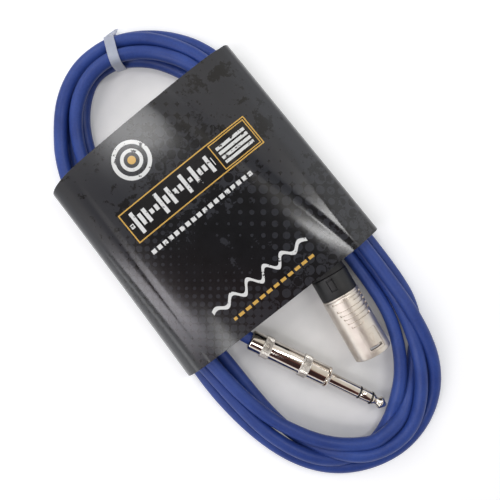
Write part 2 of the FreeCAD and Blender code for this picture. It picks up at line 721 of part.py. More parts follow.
turnedPiece("jack_barrel", jackPlace, [
    (barrelFront, barrelBore),
    (barrelFront, s.barrel_radius - s.barrel_edge),
    (barrelFront - s.barrel_edge, s.barrel_radius),
] + bandCorners(s.barrel_front_band) + bandCorners(s.barrel_rear_band) + [
    (barrelRear + s.barrel_end_bevel, s.barrel_radius),
    (barrelRear + s.barrel_end_bevel / 3, s.barrel_radius - s.barrel_end_bevel / 3),
    (barrelRear, s.barrel_radius - s.barrel_end_bevel / 1.5),
    (barrelRear, holeRadius),
    (barrelRear + s.barrel_end_wall, holeRadius),
    (barrelRear + s.barrel_end_wall, barrelBore),
])
linerOuter = barrelBore - s.running_clearance * 2
turnedPiece("jack_liner", jackPlace, tubeCorners(
    barrelRear + s.barrel_end_wall + s.liner_end_gap, -s.liner_front,
    linerOuter - s.liner_wall, linerOuter))

# Wires in the jack plug: along the jacket's end, then to the inner face of each tab
wire = num("wire_radius")
braid = num("braid_radius")
jacketEnd = -num("jack_jacket_end")
run = num("wire_run")
bendRoom = num("wire_bend_room")
spread = num("wire_spread")
rise = num("wire_rise")
for label, side, lugRear, lugRadius in (("jack_ring_wire", 1, ringLugRear, washerRadius),
                                        ("jack_tip_wire", -1, tipLugRear, tipLugRadius)):
    tabEnd = lugRear.number - num("jack_tab_length")
    tabFace = side * (lugRadius.number - num("jack_tab_thickness") - wire)
    wirePoints = [V(jacketEnd, side * spread, rise), V(jacketEnd + run, side * spread, rise),
                  V(tabEnd - bendRoom, tabFace, 0), V(tabEnd + run, tabFace, 0)]
    addTube(label, tangentPath(wirePoints)[0], wire, jackPlace)
armTop = -crimpInner.number + braid
drop = -num("braid_drop")
addTube("jack_shield_wire", tangentPath([
    V(jacketEnd, 0, drop), V(jacketEnd + run, 0, drop),
    V(jacketEnd + 2 * run, 0, armTop), V(jacketEnd + 3 * run, 0, armTop)])[0], braid, jackPlace)

# Three-pin plug, from its nose

shellRear = -s.shell_length
insertFront = -s.shell_nose_depth
insertRear = insertFront - s.insert_length
groundRear = insertRear - s.ground_thickness
chuckFront = groundRear - s.chuck_gap
bushingFront = groundRear - s.bushing_gap
pinRear = insertRear - s.pin_tail
shell = turnedPiece("xlr_shell", plugPlace, [
    (0, s.shell_nose_bore + s.shell_bevel),
    (0, s.shell_radius - s.shell_bevel),
    (-s.shell_bevel, s.shell_radius),
    (shellRear + s.shell_bevel, s.shell_radius),
    (shellRear, s.shell_radius - s.shell_bevel),
    (shellRear, s.shell_rear_bore),
    (insertFront, s.shell_rear_bore),
    (insertFront, s.shell_nose_bore),
    (-s.shell_bevel, s.shell_nose_bore),
])
latchSketch = newSketch(shell, "xlr_latch_outline", "XY_Plane")
latchFront = -s.latch_front
latchRear = latchFront - s.latch_length
latchSide = s.latch_width / 2
addOutline(latchSketch, [(latchRear, -latchSide), (latchFront, -latchSide),
                         (latchFront, latchSide), (latchRear, latchSide)])
cut(shell, "xlr_latch_slot", latchSketch, towardsNormal=True)
doc.recompute()
gripFront = -s.grip_first + s.grip_width / 2
gripBottom = s.shell_radius - s.grip_depth
grip = turned(shell, "xlr_grip_groove", [
    (gripFront - s.grip_width, gripBottom), (gripFront, gripBottom),
    (gripFront, s.shell_radius + cutClear), (gripFront - s.grip_width, s.shell_radius + cutClear)],
    sweep=s.grip_sweep, role="XZ_Plane", kind="PartDesign::Groove")
doc.recompute()
alongPattern(shell, "xlr_grip_grooves", grip, s.grip_step, s.grip_count)
doc.recompute()

pinAngles = {"xlr_pin_1": 180 - num("pin_spread"), "xlr_pin_2": num("pin_spread"), "xlr_pin_3": 270}
insert = turnedPiece("xlr_insert", plugPlace, [
    (insertRear, 0), (insertFront, 0),
    (insertFront, s.shell_rear_bore - s.running_clearance),
    (insertRear, s.shell_rear_bore - s.running_clearance)])
holeSketch = newSketch(insert, "xlr_insert_holes_outline", "YZ_Plane")
for degrees in pinAngles.values():
    across = s.pin_circle * math.cos(math.radians(degrees))
    up = s.pin_circle * math.sin(math.radians(degrees))
    addCircle(holeSketch, across, up, s.pin_radius)
cut(insert, "xlr_insert_holes", holeSketch, both=True)
doc.recompute()

for label, degrees in pinAngles.items():
    offset = V(0, num("pin_circle") * math.cos(math.radians(degrees)),
               num("pin_circle") * math.sin(math.radians(degrees)))
    pinPlace = plugPlace.multiply(FreeCAD.Placement(offset, FreeCAD.Rotation()))
    front = -s.pin_front
    turnedPiece(label, pinPlace, [
        (pinRear + s.cup_depth, 0), (front, 0), (front, s.pin_radius - s.pin_tip),
        (front - s.pin_tip, s.pin_radius), (pinRear, s.pin_radius), (pinRear, s.cup_radius),
        (pinRear + s.cup_depth, s.cup_radius)])

# Ground strip from the first pin out to the shell, flat on the insert's rear face
ground = newBody("xlr_ground_contact", plugPlace.multiply(
    FreeCAD.Placement(V(0, 0, 0), FreeCAD.Rotation(V(1, 0, 0), pinAngles["xlr_pin_1"]))))
groundSketch = newSketch(ground, "xlr_ground_outline", "YZ_Plane", lift=groundRear)
groundNear = s.pin_circle + s.pin_radius
groundFar = s.shell_rear_bore - s.ground_gap
groundSide = s.ground_width / 2
addOutline(groundSketch, [(groundNear, -groundSide), (groundFar, -groundSide),
                          (groundFar, groundSide), (groundNear, groundSide)])
groundPad = ground.newObject("PartDesign::Pad", "xlr_ground_strip")
groundPad.Profile = groundSketch
bind(groundPad, "Length", s.ground_thickness)
doc.recompute()

# Chuck: fingers round the cable behind a hollow front
chuckBore = s.cable_diameter / 2 + s.chuck_bore_gap
chuck = turnedPiece("xlr_chuck", plugPlace, [
    (chuckFront, s.chuck_cavity), (chuckFront, s.chuck_radius),
    (-s.chuck_cone_front, s.chuck_radius), (-s.chuck_end, s.chuck_end_radius),
    (-s.chuck_end, chuckBore), (-s.chuck_cone_front, chuckBore),
    (-s.chuck_cone_front, s.chuck_cavity)])
for name, role in (("xlr_chuck_slot_a", "XY_Plane"), ("xlr_chuck_slot_b", "XZ_Plane")):
    slotSketch = newSketch(chuck, name + "_outline", role)
    slotSide = s.chuck_slot / 2
    slotRear = -s.chuck_end - cutClear
    slotFront = -s.chuck_slot_front
    addOutline(slotSketch, [(slotRear, -slotSide), (slotFront, -slotSide),
                            (slotFront, slotSide), (slotRear, slotSide)])
    cut(chuck, name, slotSketch, both=True)
    doc.recompute()

# Bushing: threaded front inside the shell, black grip behind it, spigot for the boot
coneGap = s.rest_gap
bushing = turnedPiece("xlr_bushing", plugPlace, [
    (bushingFront, s.chuck_radius + coneGap),
    (bushingFront, s.shell_rear_bore - s.running_clearance),
    (shellRear, s.shell_rear_bore - s.running_clearance),
    (shellRear, s.bushing_radius - s.bushing_edge),
    (shellRear - s.bushing_edge, s.bushing_radius),
    (-s.bushing_grip_end + s.bushing_edge, s.bushing_radius),
    (-s.bushing_grip_end, s.bushing_radius - s.bushing_edge),
    (-s.bushing_grip_end, s.bushing_spigot_radius),
    (-s.bushing_end, s.bushing_spigot_radius),
    (-s.bushing_end, s.chuck_end_radius + coneGap),
    (-s.chuck_end, s.chuck_end_radius + coneGap),
    (-s.chuck_cone_front, s.chuck_radius + coneGap)])
recessSketch = newSketch(bushing, "xlr_bushing_recess_outline", "XY_Plane",
                         lift=s.bushing_radius - s.recess_depth)
recessFront = shellRear - s.recess_front
recessSide = s.recess_width / 2
addOutline(recessSketch, [(recessFront - s.recess_length, -recessSide), (recessFront, -recessSide),
                          (recessFront, recessSide), (recessFront - s.recess_length, recessSide)])
cut(bushing, "xlr_bushing_recess", recessSketch, towardsNormal=True)
doc.recompute()

boot = turnedPiece("xlr_boot", plugPlace, [
    (-s.bushing_grip_end, s.bushing_spigot_radius),
    (-s.bushing_grip_end, s.boot_radius - s.bushing_edge),
    (-s.bushing_grip_end - s.bushing_edge, s.boot_radius),
    (-s.boot_shoulder, s.boot_shoulder_radius),
    (-s.boot_end, s.boot_end_radius),
    (-s.boot_end, holeRadius),
    (-s.bushing_end, holeRadius),
    (-s.bushing_end, s.bushing_spigot_radius)])
grooveFront = -s.boot_groove_first + s.boot_groove_width / 2
grooveSlope = (s.boot_shoulder_radius - s.boot_end_radius) / (s.boot_end - s.boot_shoulder)
bootAtGroove = s.boot_shoulder_radius - grooveSlope * (s.boot_groove_first - s.boot_shoulder)
for k in range(int(num("boot_groove_count"))):
    floorRadius = bootAtGroove - grooveSlope * s.boot_groove_step * k - s.boot_groove_depth
    front = grooveFront - s.boot_groove_step * k
    turned(boot, "xlr_boot_groove_%d" % (k + 1), [
        (front - s.boot_groove_width, floorRadius), (front, floorRadius),
        (front, s.boot_radius + cutClear), (front - s.boot_groove_width, s.boot_radius + cutClear)],
        kind="PartDesign::Groove")
    doc.recompute()

# Wires in the three-pin plug: from the jacket's end into each solder cup
solderEnd = pinRear.number
cupFloor = solderEnd + num("cup_depth")
plugJacket = -num("plug_jacket_end")
for label, pin, radius in (("xlr_shield_wire", "xlr_pin_1", braid), ("xlr_hot_wire", "xlr_pin_2", wire),
                           ("xlr_cold_wire", "xlr_pin_3", wire)):
    outward = V(0, math.cos(math.radians(pinAngles[pin])), math.sin(math.radians(pinAngles[pin])))
    near = outward * num("wire_gather")
    far = outward * num("pin_circle")
    addTube(label, tangentPath([
        V(plugJacket, 0, 0) + near, V(plugJacket + bendRoom, 0, 0) + near,
        V(solderEnd - bendRoom, 0, 0) + far, V(cupFloor, 0, 0) + far])[0], radius, plugPlace)

# Card sleeve round the coil's waist, flat on its back
coilRadius = s.cable_diameter / 2
cardLeft = s.coil_low_left_x - coilRadius - s.card_left_slack - s.card_thickness
cardRight = s.coil_low_right_x + coilRadius + s.card_right_slack + s.card_thickness
cardTop = s.card_thickness * 2 + s.rest_gap + s.shell_radius * 2 + s.card_top_slack
cardPlace = FreeCAD.Placement(V(0, num("card_low_y"), 0), FreeCAD.Rotation())
card = loopBlock("card_sleeve", cardPlace,
                 [(cardLeft, 0), (cardRight, 0), (cardRight, s.card_side_height),
                  (s.card_fold_x, cardTop), (cardLeft, cardTop)],
                 [s.card_back_bend, s.card_back_bend, s.card_side_bend, None, s.card_left_bend],
                 s.card_length)
# The front falls to the right of a crease that runs from beside the fold up to the far end.
fallSketch = newSketch(card, "card_fall_outline", "XY_Plane")
creaseFoot = s.card_fold_x - s.card_crease_in
creaseRun = creaseFoot - s.card_crease_x
creaseTurn = math.degrees(math.atan2(creaseRun.number, s.card_length.number))
fallSketch.AttachmentOffset = FreeCAD.Placement(
    V(creaseFoot.number, 0, cardTop.number),
    FreeCAD.Rotation(creaseTurn, s.card_crease_fall.number, 0))
fallSketch.setExpression("AttachmentOffset.Base.x", creaseFoot.text)
fallSketch.setExpression("AttachmentOffset.Base.z", cardTop.text)
fallSketch.setExpression("AttachmentOffset.Rotation.Yaw",
                         "atan(%s / %s)" % (creaseRun.text, s.card_length.text))
fallSketch.setExpression("AttachmentOffset.Rotation.Pitch", s.card_crease_fall.text)
fallReach = cardRight * 2
addOutline(fallSketch, [(0, -fallReach), (fallReach, -fallReach),
                        (fallReach, fallReach * 2), (0, fallReach * 2)])
cut(card, "card_fall", fallSketch, towardsNormal=True)
doc.recompute()
hollowOut(card, "card_sleeve", s.card_thickness)

# Tie round the bundle at the top bend: its own X axis runs across the bundle
bundleWidth = s.coil_top_pitch * 2 + s.cable_diameter
bundleTop = s.card_thickness + s.rest_gap + s.cable_diameter * 2 + s.turn_gap
tieHalf = bundleWidth / 2 + s.tie_slack + s.tie_thickness
tieTop = bundleTop + s.rest_gap + s.tie_thickness
topPass = coilPoint(1.25)[0]
middleArc = [e for e in coilEdges if (e.Vertexes[0].Point - topPass).Length < 0.01][0].Curve
tieTurn = math.radians(num("tie_angle"))
tieOut = V(math.sin(tieTurn), math.cos(tieTurn), 0) * middleArc.Radius
tieCentre = V(middleArc.Center.x, middleArc.Center.y, 0) + tieOut
tieRotation = FreeCAD.Rotation(90 - num("tie_angle"), 0, 0)
tieAcross = tieRotation.multVec(V(0, 1, 0))
tiePlace = FreeCAD.Placement(tieCentre - tieAcross * (num("tie_width") / 2), tieRotation)
tieCorners = [(-tieHalf, 0), (tieHalf, 0), (tieHalf, tieTop), (-tieHalf, tieTop)]
strap = loopBlock("cable_tie", tiePlace, tieCorners, [s.tie_bend] * 4, s.tie_width)
hollowOut(strap, "cable_tie", s.tie_thickness)

# Check every object, then write one file for each sub-part

doc.recompute()
parts = [o for o in doc.Objects
         if o.TypeId in ("PartDesign::Body", "Part::Feature") and not o.Label.startswith("Origin")]
faults = [o.Name for o in doc.Objects if "Invalid" in o.State or "Error" in o.State]
for part in parts:
    shape = part.Shape
    if shape.isNull() or not shape.isValid() or len(shape.Solids) != 1:
        faults.append(part.Label + " shape")
if faults:
    raise RuntimeError("failed: " + ", ".join(faults))

os.makedirs("parts", exist_ok=True)
for part in parts:
    part.Shape.exportStep("parts/%s.step" % part.Label)
whole = FreeCAD.BoundBox()
for part in parts:
    whole.add(part.Shape.BoundBox)
    print("%-22s %10.1f mm3" % (part.Label, part.Shape.Volume))
print("%d parts, X %.2f to %.2f, Y %.2f to %.2f, Z %.2f to %.2f"
      % (len(parts), whole.XMin, whole.XMax, whole.YMin, whole.YMax, whole.ZMin, whole.ZMax))
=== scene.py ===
import math
from functools import partial
import bpy
import bmesh
from mathutils import Matrix, Vector, noise


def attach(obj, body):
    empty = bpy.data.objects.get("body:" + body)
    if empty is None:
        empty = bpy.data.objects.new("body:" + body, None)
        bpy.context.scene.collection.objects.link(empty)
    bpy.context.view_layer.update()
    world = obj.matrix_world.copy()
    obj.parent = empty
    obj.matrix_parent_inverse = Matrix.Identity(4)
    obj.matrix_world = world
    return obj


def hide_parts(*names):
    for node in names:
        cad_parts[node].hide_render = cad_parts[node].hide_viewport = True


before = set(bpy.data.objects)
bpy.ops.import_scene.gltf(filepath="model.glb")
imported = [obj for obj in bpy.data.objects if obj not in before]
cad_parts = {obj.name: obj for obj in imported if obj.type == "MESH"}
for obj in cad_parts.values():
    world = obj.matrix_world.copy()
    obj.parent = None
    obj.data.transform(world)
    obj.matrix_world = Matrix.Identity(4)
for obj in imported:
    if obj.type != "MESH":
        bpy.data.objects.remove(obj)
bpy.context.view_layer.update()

# Sizes in this file are millimetres and degrees; toMetres brings each finished piece to metres.
mm = 0.001
toMetres = Matrix.Scale(mm, 4)
scene = bpy.context.scene


def addObject(name, data):
    obj = bpy.data.objects.new(name, data)
    scene.collection.objects.link(obj)
    return obj


# Camera, straight above the coil as in the photograph
cameraSizes = {"place": (2.25, -0.2, 280.0), "turn": -39.28, "lens": 39.6, "sensor": 36.0, "nearest": 10.0}
cameraData = bpy.data.cameras.new("camera")
cameraData.lens = cameraSizes["lens"]
cameraData.sensor_width = cameraSizes["sensor"]
cameraData.clip_start = cameraSizes["nearest"] * mm
camera = addObject("camera", cameraData)
camera.location = Vector(cameraSizes["place"]) * mm
camera.rotation_euler = (0, 0, math.radians(cameraSizes["turn"]))
scene.camera = camera
print("camera ready")

# The cable, one spline from the jack plug through the coil to the three-pin plug
cable = {
    "diameter": 6.5,
    "length": 2602.0,
    "sides": 8,
    "between": 7,
    "jackRoute": [(-20.65, -45.66, 6.5), (-32.90, -19.15, 6.5), (-35.92, 14.03, 4.05), (-35.0, 30.0, 4.05)],
    "plugRoute": [(35.9, 46.0, 11.05), (36.39, 26.0, 11.05), (29.74, -1.73, 10.3), (23.62, -38.72, 10.3)],
}

# Round the coil, clockwise from its left side: a place, the way it faces outwards, and for each
# of the five passes how far in from that place the cable lies and how high its middle is.
coilRows = [
    (-52.5, 0.0, 270, [None, (-0.8, 9.0), (4.5, 12.8), (-0.2, 4.0), (10.7, 6.0)]),
    (-50.5, 38.0, 272, [None, (-1.3, 5.0), (0.3, 12.2), (3.5, 4.0), (9.9, 9.5)]),
    (-46.0, 76.0, 280, [(12.5, 4.0), (-3.0, 4.0), (-1.6, 11.1), (3.8, 4.0), (9.0, 10.4)]),
    (-40.5, 91.7, 293, [(11.7, 4.0), (-2.8, 4.0), (-0.9, 11.0), (3.9, 4.0), (8.7, 10.4)]),
    (-33.0, 104.0, 308, [(10.2, 4.0), (-2.1, 4.0), (0.4, 11.0), (3.5, 4.6), (8.0, 11.0)]),
    (-24.5, 112.5, 321, [(8.6, 4.0), (-2.7, 4.0), (0.2, 11.4), (3.4, 6.4), (7.7, 12.6)]),
    (-15.5, 118.0, 333, [(6.9, 4.0), (-3.4, 4.0), (0.2, 12.0), (3.4, 8.0), (7.6, 14.0)]),
    (-6.2, 121.4, 346, [(5.5, 4.0), (-3.5, 4.0), (0.4, 12.6), (3.1, 8.8), (7.9, 14.8)]),
    (3.4, 122.6, 0, [(6.1, 4.0), (-3.0, 4.0), (0.9, 12.4), (3.4, 8.6), (8.1, 14.8)]),
    (13.1, 121.5, 14, [(7.4, 4.0), (-2.6, 4.0), (1.1, 12.2), (4.1, 8.0), (8.4, 14.4)]),
    (22.5, 118.0, 27, [(9.4, 4.0), (-2.0, 4.0), (1.2, 11.4), (4.6, 6.2), (8.5, 12.6)]),
    (31.0, 112.0, 39, [(10.5, 4.0), (-2.0, 4.0), (1.7, 10.9), (4.9, 4.8), (8.4, 11.4)]),
    (38.5, 104.0, 52, [(11.9, 4.0), (-2.1, 4.0), (2.8, 10.2), (5.0, 4.0), (9.1, 11.6)]),
    (44.7, 94.1, 67, [(13.0, 4.0), (-2.4, 4.0), (3.3, 10.0), (5.2, 4.0), (9.5, 12.0)]),
    (49.0, 80.0, 80, [(13.3, 4.0), (-2.5, 4.0), (3.5, 10.2), (5.2, 4.0), (9.6, 11.6)]),
    (51.5, 38.0, 90, [(13.4, 4.0), (-0.8, 4.0), (4.7, 10.6), (6.3, 4.0), None]),
    (52.0, 0.0, 90, [(13.2, 4.0), (0.5, 4.0), (5.6, 10.6), (6.9, 4.0), None]),
    (52.5, -36.0, 91, [(13.3, 4.0), (1.1, 4.0), (5.8, 10.8), (7.1, 4.0), None]),
    (51.7, -58.1, 93, [(14.0, 5.0), (1.3, 4.0), (6.1, 11.2), (7.6, 5.4), None]),
    (50.0, -72.0, 98, [(14.8, 6.2), (1.9, 4.0), (5.5, 12.2), (8.1, 7.6), None]),
    (46.0, -87.3, 110, [(16.6, 7.0), (5.5, 4.0), (4.2, 11.6), (9.4, 10.6), None]),
    (39.5, -100.0, 125, [(17.5, 7.6), (10.4, 4.0), (1.8, 9.4), (9.0, 10.6), None]),
    (30.5, -109.9, 139, [(17.2, 8.0), (10.8, 4.4), (-0.8, 6.2), (7.1, 10.2), None]),
    (20.0, -117.0, 152, [(16.3, 7.6), (10.5, 6.4), (-2.1, 4.4), (4.9, 10.0), None]),
    (9.1, -121.1, 166, [(13.5, 5.2), (10.0, 9.6), (-2.2, 4.0), (3.2, 10.0), None]),
    (-1.8, -122.4, 180, [(10.4, 4.0), (10.3, 10.6), (-2.0, 4.0), (3.2, 9.9), None]),
    (-12.4, -121.1, 194, [(6.9, 4.0), (9.8, 10.9), (-1.5, 4.0), (3.9, 10.0), None]),
    (-22.5, -117.0, 207, [(4.0, 4.4), (11.0, 10.6), (-1.7, 4.0), (5.1, 11.2), None]),
    (-31.7, -109.9, 219, [(1.9, 6.6), (11.7, 12.0), (-2.6, 4.0), (6.8, 10.2), None]),
    (-39.5, -100.0, 232, [(1.5, 9.4), (11.2, 12.4), (-3.3, 4.0), (6.1, 6.2), None]),
    (-45.4, -87.3, 246, [(0.9, 9.8), (9.6, 11.4), (-3.8, 4.0), (6.5, 4.9), None]),
    (-49.5, -72.0, 259, [(0.6, 9.5), (7.3, 10.9), (-3.8, 4.0), (7.8, 4.0), None]),
    (-51.9, -54.4, 266, [(1.3, 9.0), (6.5, 12.4), (-3.6, 4.0), (9.7, 4.0), None]),
    (-53.0, -36.0, 269, [(1.8, 9.0), (6.2, 12.8), (-2.9, 4.0), (11.1, 4.4), None]),
]


def coilTurns():
    points = []
    for turn in range(len(coilRows[0][3])):
        for x, y, facing, passes in coilRows:
            if passes[turn]:
                inward, height = passes[turn]
                outX = math.sin(math.radians(facing))
                outY = math.cos(math.radians(facing))
                points.append((x - outX * inward, y - outY * inward, height))
    return points


def smoothCurve(name, points, thickness, skin, sides, between):
    data = bpy.data.curves.new(name, "CURVE")
    data.dimensions = "3D"
    data.resolution_u = between
    data.bevel_depth = thickness / 2 * mm
    data.bevel_resolution = sides
    data.use_fill_caps = True
    spline = data.splines.new("NURBS")
    spline.points.add(len(points) - 1)
    for spot, point in zip(spline.points, points):
        spot.co = (point[0] * mm, point[1] * mm, point[2] * mm, 1)
    spline.order_u = 3
    spline.use_endpoint_u = True
    data.materials.append(skin)
    return addObject(name, data)


# Materials, all in Object coordinates

def newSkin(name, fixed=None):
    skin = bpy.data.materials.new(name)
    skin.use_nodes = True
    shader = skin.node_tree.nodes["Principled BSDF"]
    for socket, number in (fixed or {}).items():
        shader.inputs[socket].default_value = number
    return skin, skin.node_tree, shader


def addNode(tree, kind, inputs=None, **settings):
    # Makes a node; an input is a number, a colour or another node's output.
    node = tree.nodes.new("ShaderNode" + kind)
    for key, setting in settings.items():
        setattr(node, key, setting)
    for key, source in (inputs or {}).items():
        if isinstance(source, bpy.types.NodeSocket):
            tree.links.new(source, node.inputs[key])
        else:
            node.inputs[key].default_value = source
    return node


def calc(tree, operation, *numbers):
    return addNode(tree, "Math", dict(enumerate(numbers)), operation=operation).outputs[0]


def mathOf(tree, *operations):
    # Short names for a material's sums
    return [partial(calc, tree, operation) for operation in operations]


def blendColours(tree, factor, first, second, way="MIX"):
    node = addNode(tree, "Mix", {0: factor, 6: first, 7: second}, data_type="RGBA", blend_type=way)
    return node.outputs[2]


def places(tree, scale=(1, 1, 1)):
    coords = addNode(tree, "TexCoord").outputs["Object"]
    return addNode(tree, "Mapping", {"Vector": coords, "Scale": scale}).outputs[0]


def cloud(tree, where, scale, detail=4.0, roughness=0.55):
    node = addNode(tree, "TexNoise", {"Vector": where, "Scale": scale, "Detail": detail, "Roughness": roughness})
    return node.outputs[0]


def ramp(tree, factor, stops):
    # Each stop is a place and a grey or a colour there.
    node = addNode(tree, "ValToRGB", {0: factor})
    bar = node.color_ramp
    while len(bar.elements) < len(stops):
        bar.elements.new(0.5)
    for element, (spot, colour) in zip(bar.elements, stops):
        element.position = spot
        element.color = colour if isinstance(colour, tuple) else (colour, colour, colour, 1)
    return node.outputs[0]


def relief(tree, shader, height, strength, depth):
    bump = addNode(tree, "Bump", {"Height": height, "Strength": strength, "Distance": depth * mm})
    tree.links.new(bump.outputs[0], shader.inputs["Normal"])


def plug(tree, output, shader, socket):
    tree.links.new(output, shader.inputs[socket])


def rgb(red, green, blue):
    # A screen colour of 0 to 255, as the shader's linear numbers
    def linear(value):
        value /= 255
        return value / 12.92 if value <= 0.04045 else ((value + 0.055) / 1.055) ** 2.4
    return linear(red), linear(green), linear(blue), 1.0


jacket = {"deep": (38, 59, 127), "colour": (55, 81, 156), "rough": (0.36, 0.52), "specks": 0.88, "grain": 0.25}


def makeJacket():
    # Soft blue PVC with a satin face, fine specks and dulled patches from handling
    skin, tree, shader = newSkin("jacket", {"Specular IOR Level": 0.3})
    where = places(tree)
    broad = cloud(tree, where, 38.0, 3.0)
    fine = cloud(tree, where, 900.0, 3.0)
    tint = ramp(tree, broad, [(0.3, rgb(*jacket["deep"])), (0.7, rgb(*jacket["colour"]))])
    specks = ramp(tree, fine, [(0.35, jacket["specks"]), (0.65, 1.0)])
    plug(tree, blendColours(tree, 1.0, tint, specks, "MULTIPLY"), shader, "Base Color")
    low, high = jacket["rough"]
    plug(tree, ramp(tree, cloud(tree, where, 120.0, 4.0), [(0.3, low), (0.75, high)]), shader, "Roughness")
    relief(tree, shader, fine, jacket["grain"], 0.06)
    return skin


def makeMetal(name, colour, deep, rough, grain, fineness=700.0):
    # Plated metal: slight clouding, fine turning or blasting marks and a few duller patches
    skin, tree, shader = newSkin(name, {"Metallic": 1.0})
    where = places(tree)
    clouding = cloud(tree, where, 150.0, 4.0)
    fine = cloud(tree, where, fineness, 4.0, 0.7)
    plug(tree, ramp(tree, clouding, [(0.3, rgb(*deep)), (0.65, rgb(*colour))]), shader, "Base Color")
    low, high = rough
    uneven = blendColours(tree, 0.5, clouding, fine)
    plug(tree, ramp(tree, uneven, [(0.35, low), (0.65, high)]), shader, "Roughness")
    relief(tree, shader, fine, grain, 0.03)
    return skin


def makePlastic(name, colour, deep, rough, grain, fineness=500.0, fixed=None):
    # Moulded plastic or rubber: even colour with a spark-eroded grain and rubbed patches
    skin, tree, shader = newSkin(name, fixed)
    where = places(tree)
    fine = cloud(tree, where, fineness, 5.0, 0.6)
    patches = cloud(tree, where, 90.0, 3.0)
    both = blendColours(tree, 0.5, fine, patches)
    plug(tree, ramp(tree, both, [(0.35, rgb(*deep)), (0.65, rgb(*colour))]), shader, "Base Color")
    low, high = rough
    plug(tree, ramp(tree, patches, [(0.3, low), (0.7, high)]), shader, "Roughness")
    relief(tree, shader, fine, grain, 0.08)
    return skin


# Screen colours, the range of roughness, and how strong and how fine the grain is
metals = {
    "plug_nickel": {"colour": (224, 218, 210), "deep": (208, 201, 192), "rough": (0.08, 0.14), "grain": 0.01},
    "knurled_nickel": {"colour": (220, 217, 212), "deep": (196, 192, 186), "rough": (0.26, 0.38), "grain": 0.05},
    "shell_nickel": {"colour": (217, 210, 201), "deep": (203, 195, 186), "rough": (0.38, 0.48), "grain": 0.1,
                     "fineness": 1500.0},
    "brass": {"colour": (214, 178, 98), "deep": (188, 146, 72), "rough": (0.18, 0.34), "grain": 0.1},
    "copper": {"colour": (206, 126, 84), "deep": (170, 92, 56), "rough": (0.25, 0.45), "grain": 0.5,
               "fineness": 1800.0},
}
plastics = {
    "black_insulator": {"colour": (18, 17, 17), "deep": (10, 10, 11), "rough": (0.25, 0.4), "grain": 0.1},
    "black_plastic": {"colour": (17, 18, 21), "deep": (11, 12, 14), "rough": (0.42, 0.6), "grain": 0.2},
    "black_rubber": {"colour": (24, 24, 26), "deep": (14, 14, 16), "rough": (0.55, 0.75), "grain": 0.4,
                     "fineness": 320.0},
    "liner_plastic": {"colour": (222, 222, 216), "deep": (205, 204, 198), "rough": (0.3, 0.45), "grain": 0.1,
                      "fixed": {"Transmission Weight": 0.25}},
    "wire_red": {"colour": (176, 34, 30), "deep": (148, 24, 22), "rough": (0.35, 0.5), "grain": 0.15},
    "wire_white": {"colour": (226, 224, 216), "deep": (206, 203, 194), "rough": (0.35, 0.5), "grain": 0.15},
    # Its pale blue-grey is partly the strap's own colour and partly painted: the blue of the cable showing through
    # the clear strap.
    "strap_plastic": {"colour": (194, 199, 215), "deep": (180, 186, 204), "rough": (0.34, 0.46), "grain": 0.3,
                      "fineness": 420.0,
                      "fixed": {"Subsurface Weight": 0.5, "Subsurface Radius": (0.002, 0.002, 0.003),
                                "Subsurface Scale": 0.6, "Transmission Weight": 0.15}},
}
skins = {"jacket": makeJacket()}
for name, values in metals.items():
    skins[name] = makeMetal(name, **values)
for name, values in plastics.items():
    skins[name] = makePlastic(name, **values)
print("plain materials ready")

# The cable itself
cableCord = smoothCurve("cableCord", cable["jackRoute"] + coilTurns() + cable["plugRoute"], cable["diameter"],
                        skins["jacket"], cable["sides"], cable["between"])
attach(cableCord, "cable")
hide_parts("cable_coil", "jack_lead", "xlr_lead")
print("cable laid")

# Shaping helpers
closeBy = 0.0005  # points of a turned shape that lie nearer than this are joined


def outlineEdges(bm, corners):
    # A closed outline in the XZ plane: corners are (across, up) or (across, up, rounding, steps).
    spots = [bm.verts.new((corner[0], 0, corner[1])) for corner in corners]
    bm.faces.new(spots)
    for spot, corner in zip(spots, corners):
        if len(corner) > 2:
            bmesh.ops.bevel(bm, geom=[spot], offset=corner[2], offset_type="OFFSET", affect="VERTICES",
                            segments=corner[3], profile=0.5, material=-1)
    bmesh.ops.delete(bm, geom=bm.faces[:], context="FACES_ONLY")


def turnedShape(corners, steps):
    # Spins an outline about the X axis and closes it at its poles.
    bm = bmesh.new()
    outlineEdges(bm, corners)
    onAxis = [e for e in bm.edges if all(abs(v.co.z) < closeBy for v in e.verts)]
    bmesh.ops.delete(bm, geom=onAxis, context="EDGES")
    bmesh.ops.spin(bm, geom=bm.verts[:] + bm.edges[:], cent=(0, 0, 0), axis=(1, 0, 0), dvec=(0, 0, 0),
                   angle=math.tau, steps=steps, use_merge=True, use_duplicate=False)
    bmesh.ops.remove_doubles(bm, verts=bm.verts[:], dist=closeBy)
    bmesh.ops.recalc_face_normals(bm, faces=bm.faces[:])
    return bm


def newVerts(result):
    return [v for v in result["geom"] if isinstance(v, bmesh.types.BMVert)]


def finishPiece(name, bm, body, nodes, slot, place, sharp=35.0, looks=None):
    # Brings a shape to its place in metres. It wears its slot's material unless given others.
    bmesh.ops.transform(bm, matrix=toMetres @ place, verts=bm.verts[:])
    bmesh.ops.recalc_face_normals(bm, faces=bm.faces[:])
    data = bpy.data.meshes.new(name)
    bm.to_mesh(data)
    bm.free()
    for look in looks or [skins[slot]]:
        data.materials.append(look)
    data.shade_smooth()
    data.set_sharp_from_angle(angle=math.radians(sharp))
    obj = addObject(name, data)
    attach(obj, body)
    if nodes:
        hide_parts(*nodes)
    return obj


def fromAxis(point):
    return math.hypot(point.y, point.z)


def pushOut(spots, amount):
    # Moves points of a turned shape away from its axis.
    for spot in spots:
        share = (fromAxis(spot.co) + amount) / fromAxis(spot.co)
        spot.co.y *= share
        spot.co.z *= share


def vertsOf(faces):
    return {v for face in faces for v in face.verts}


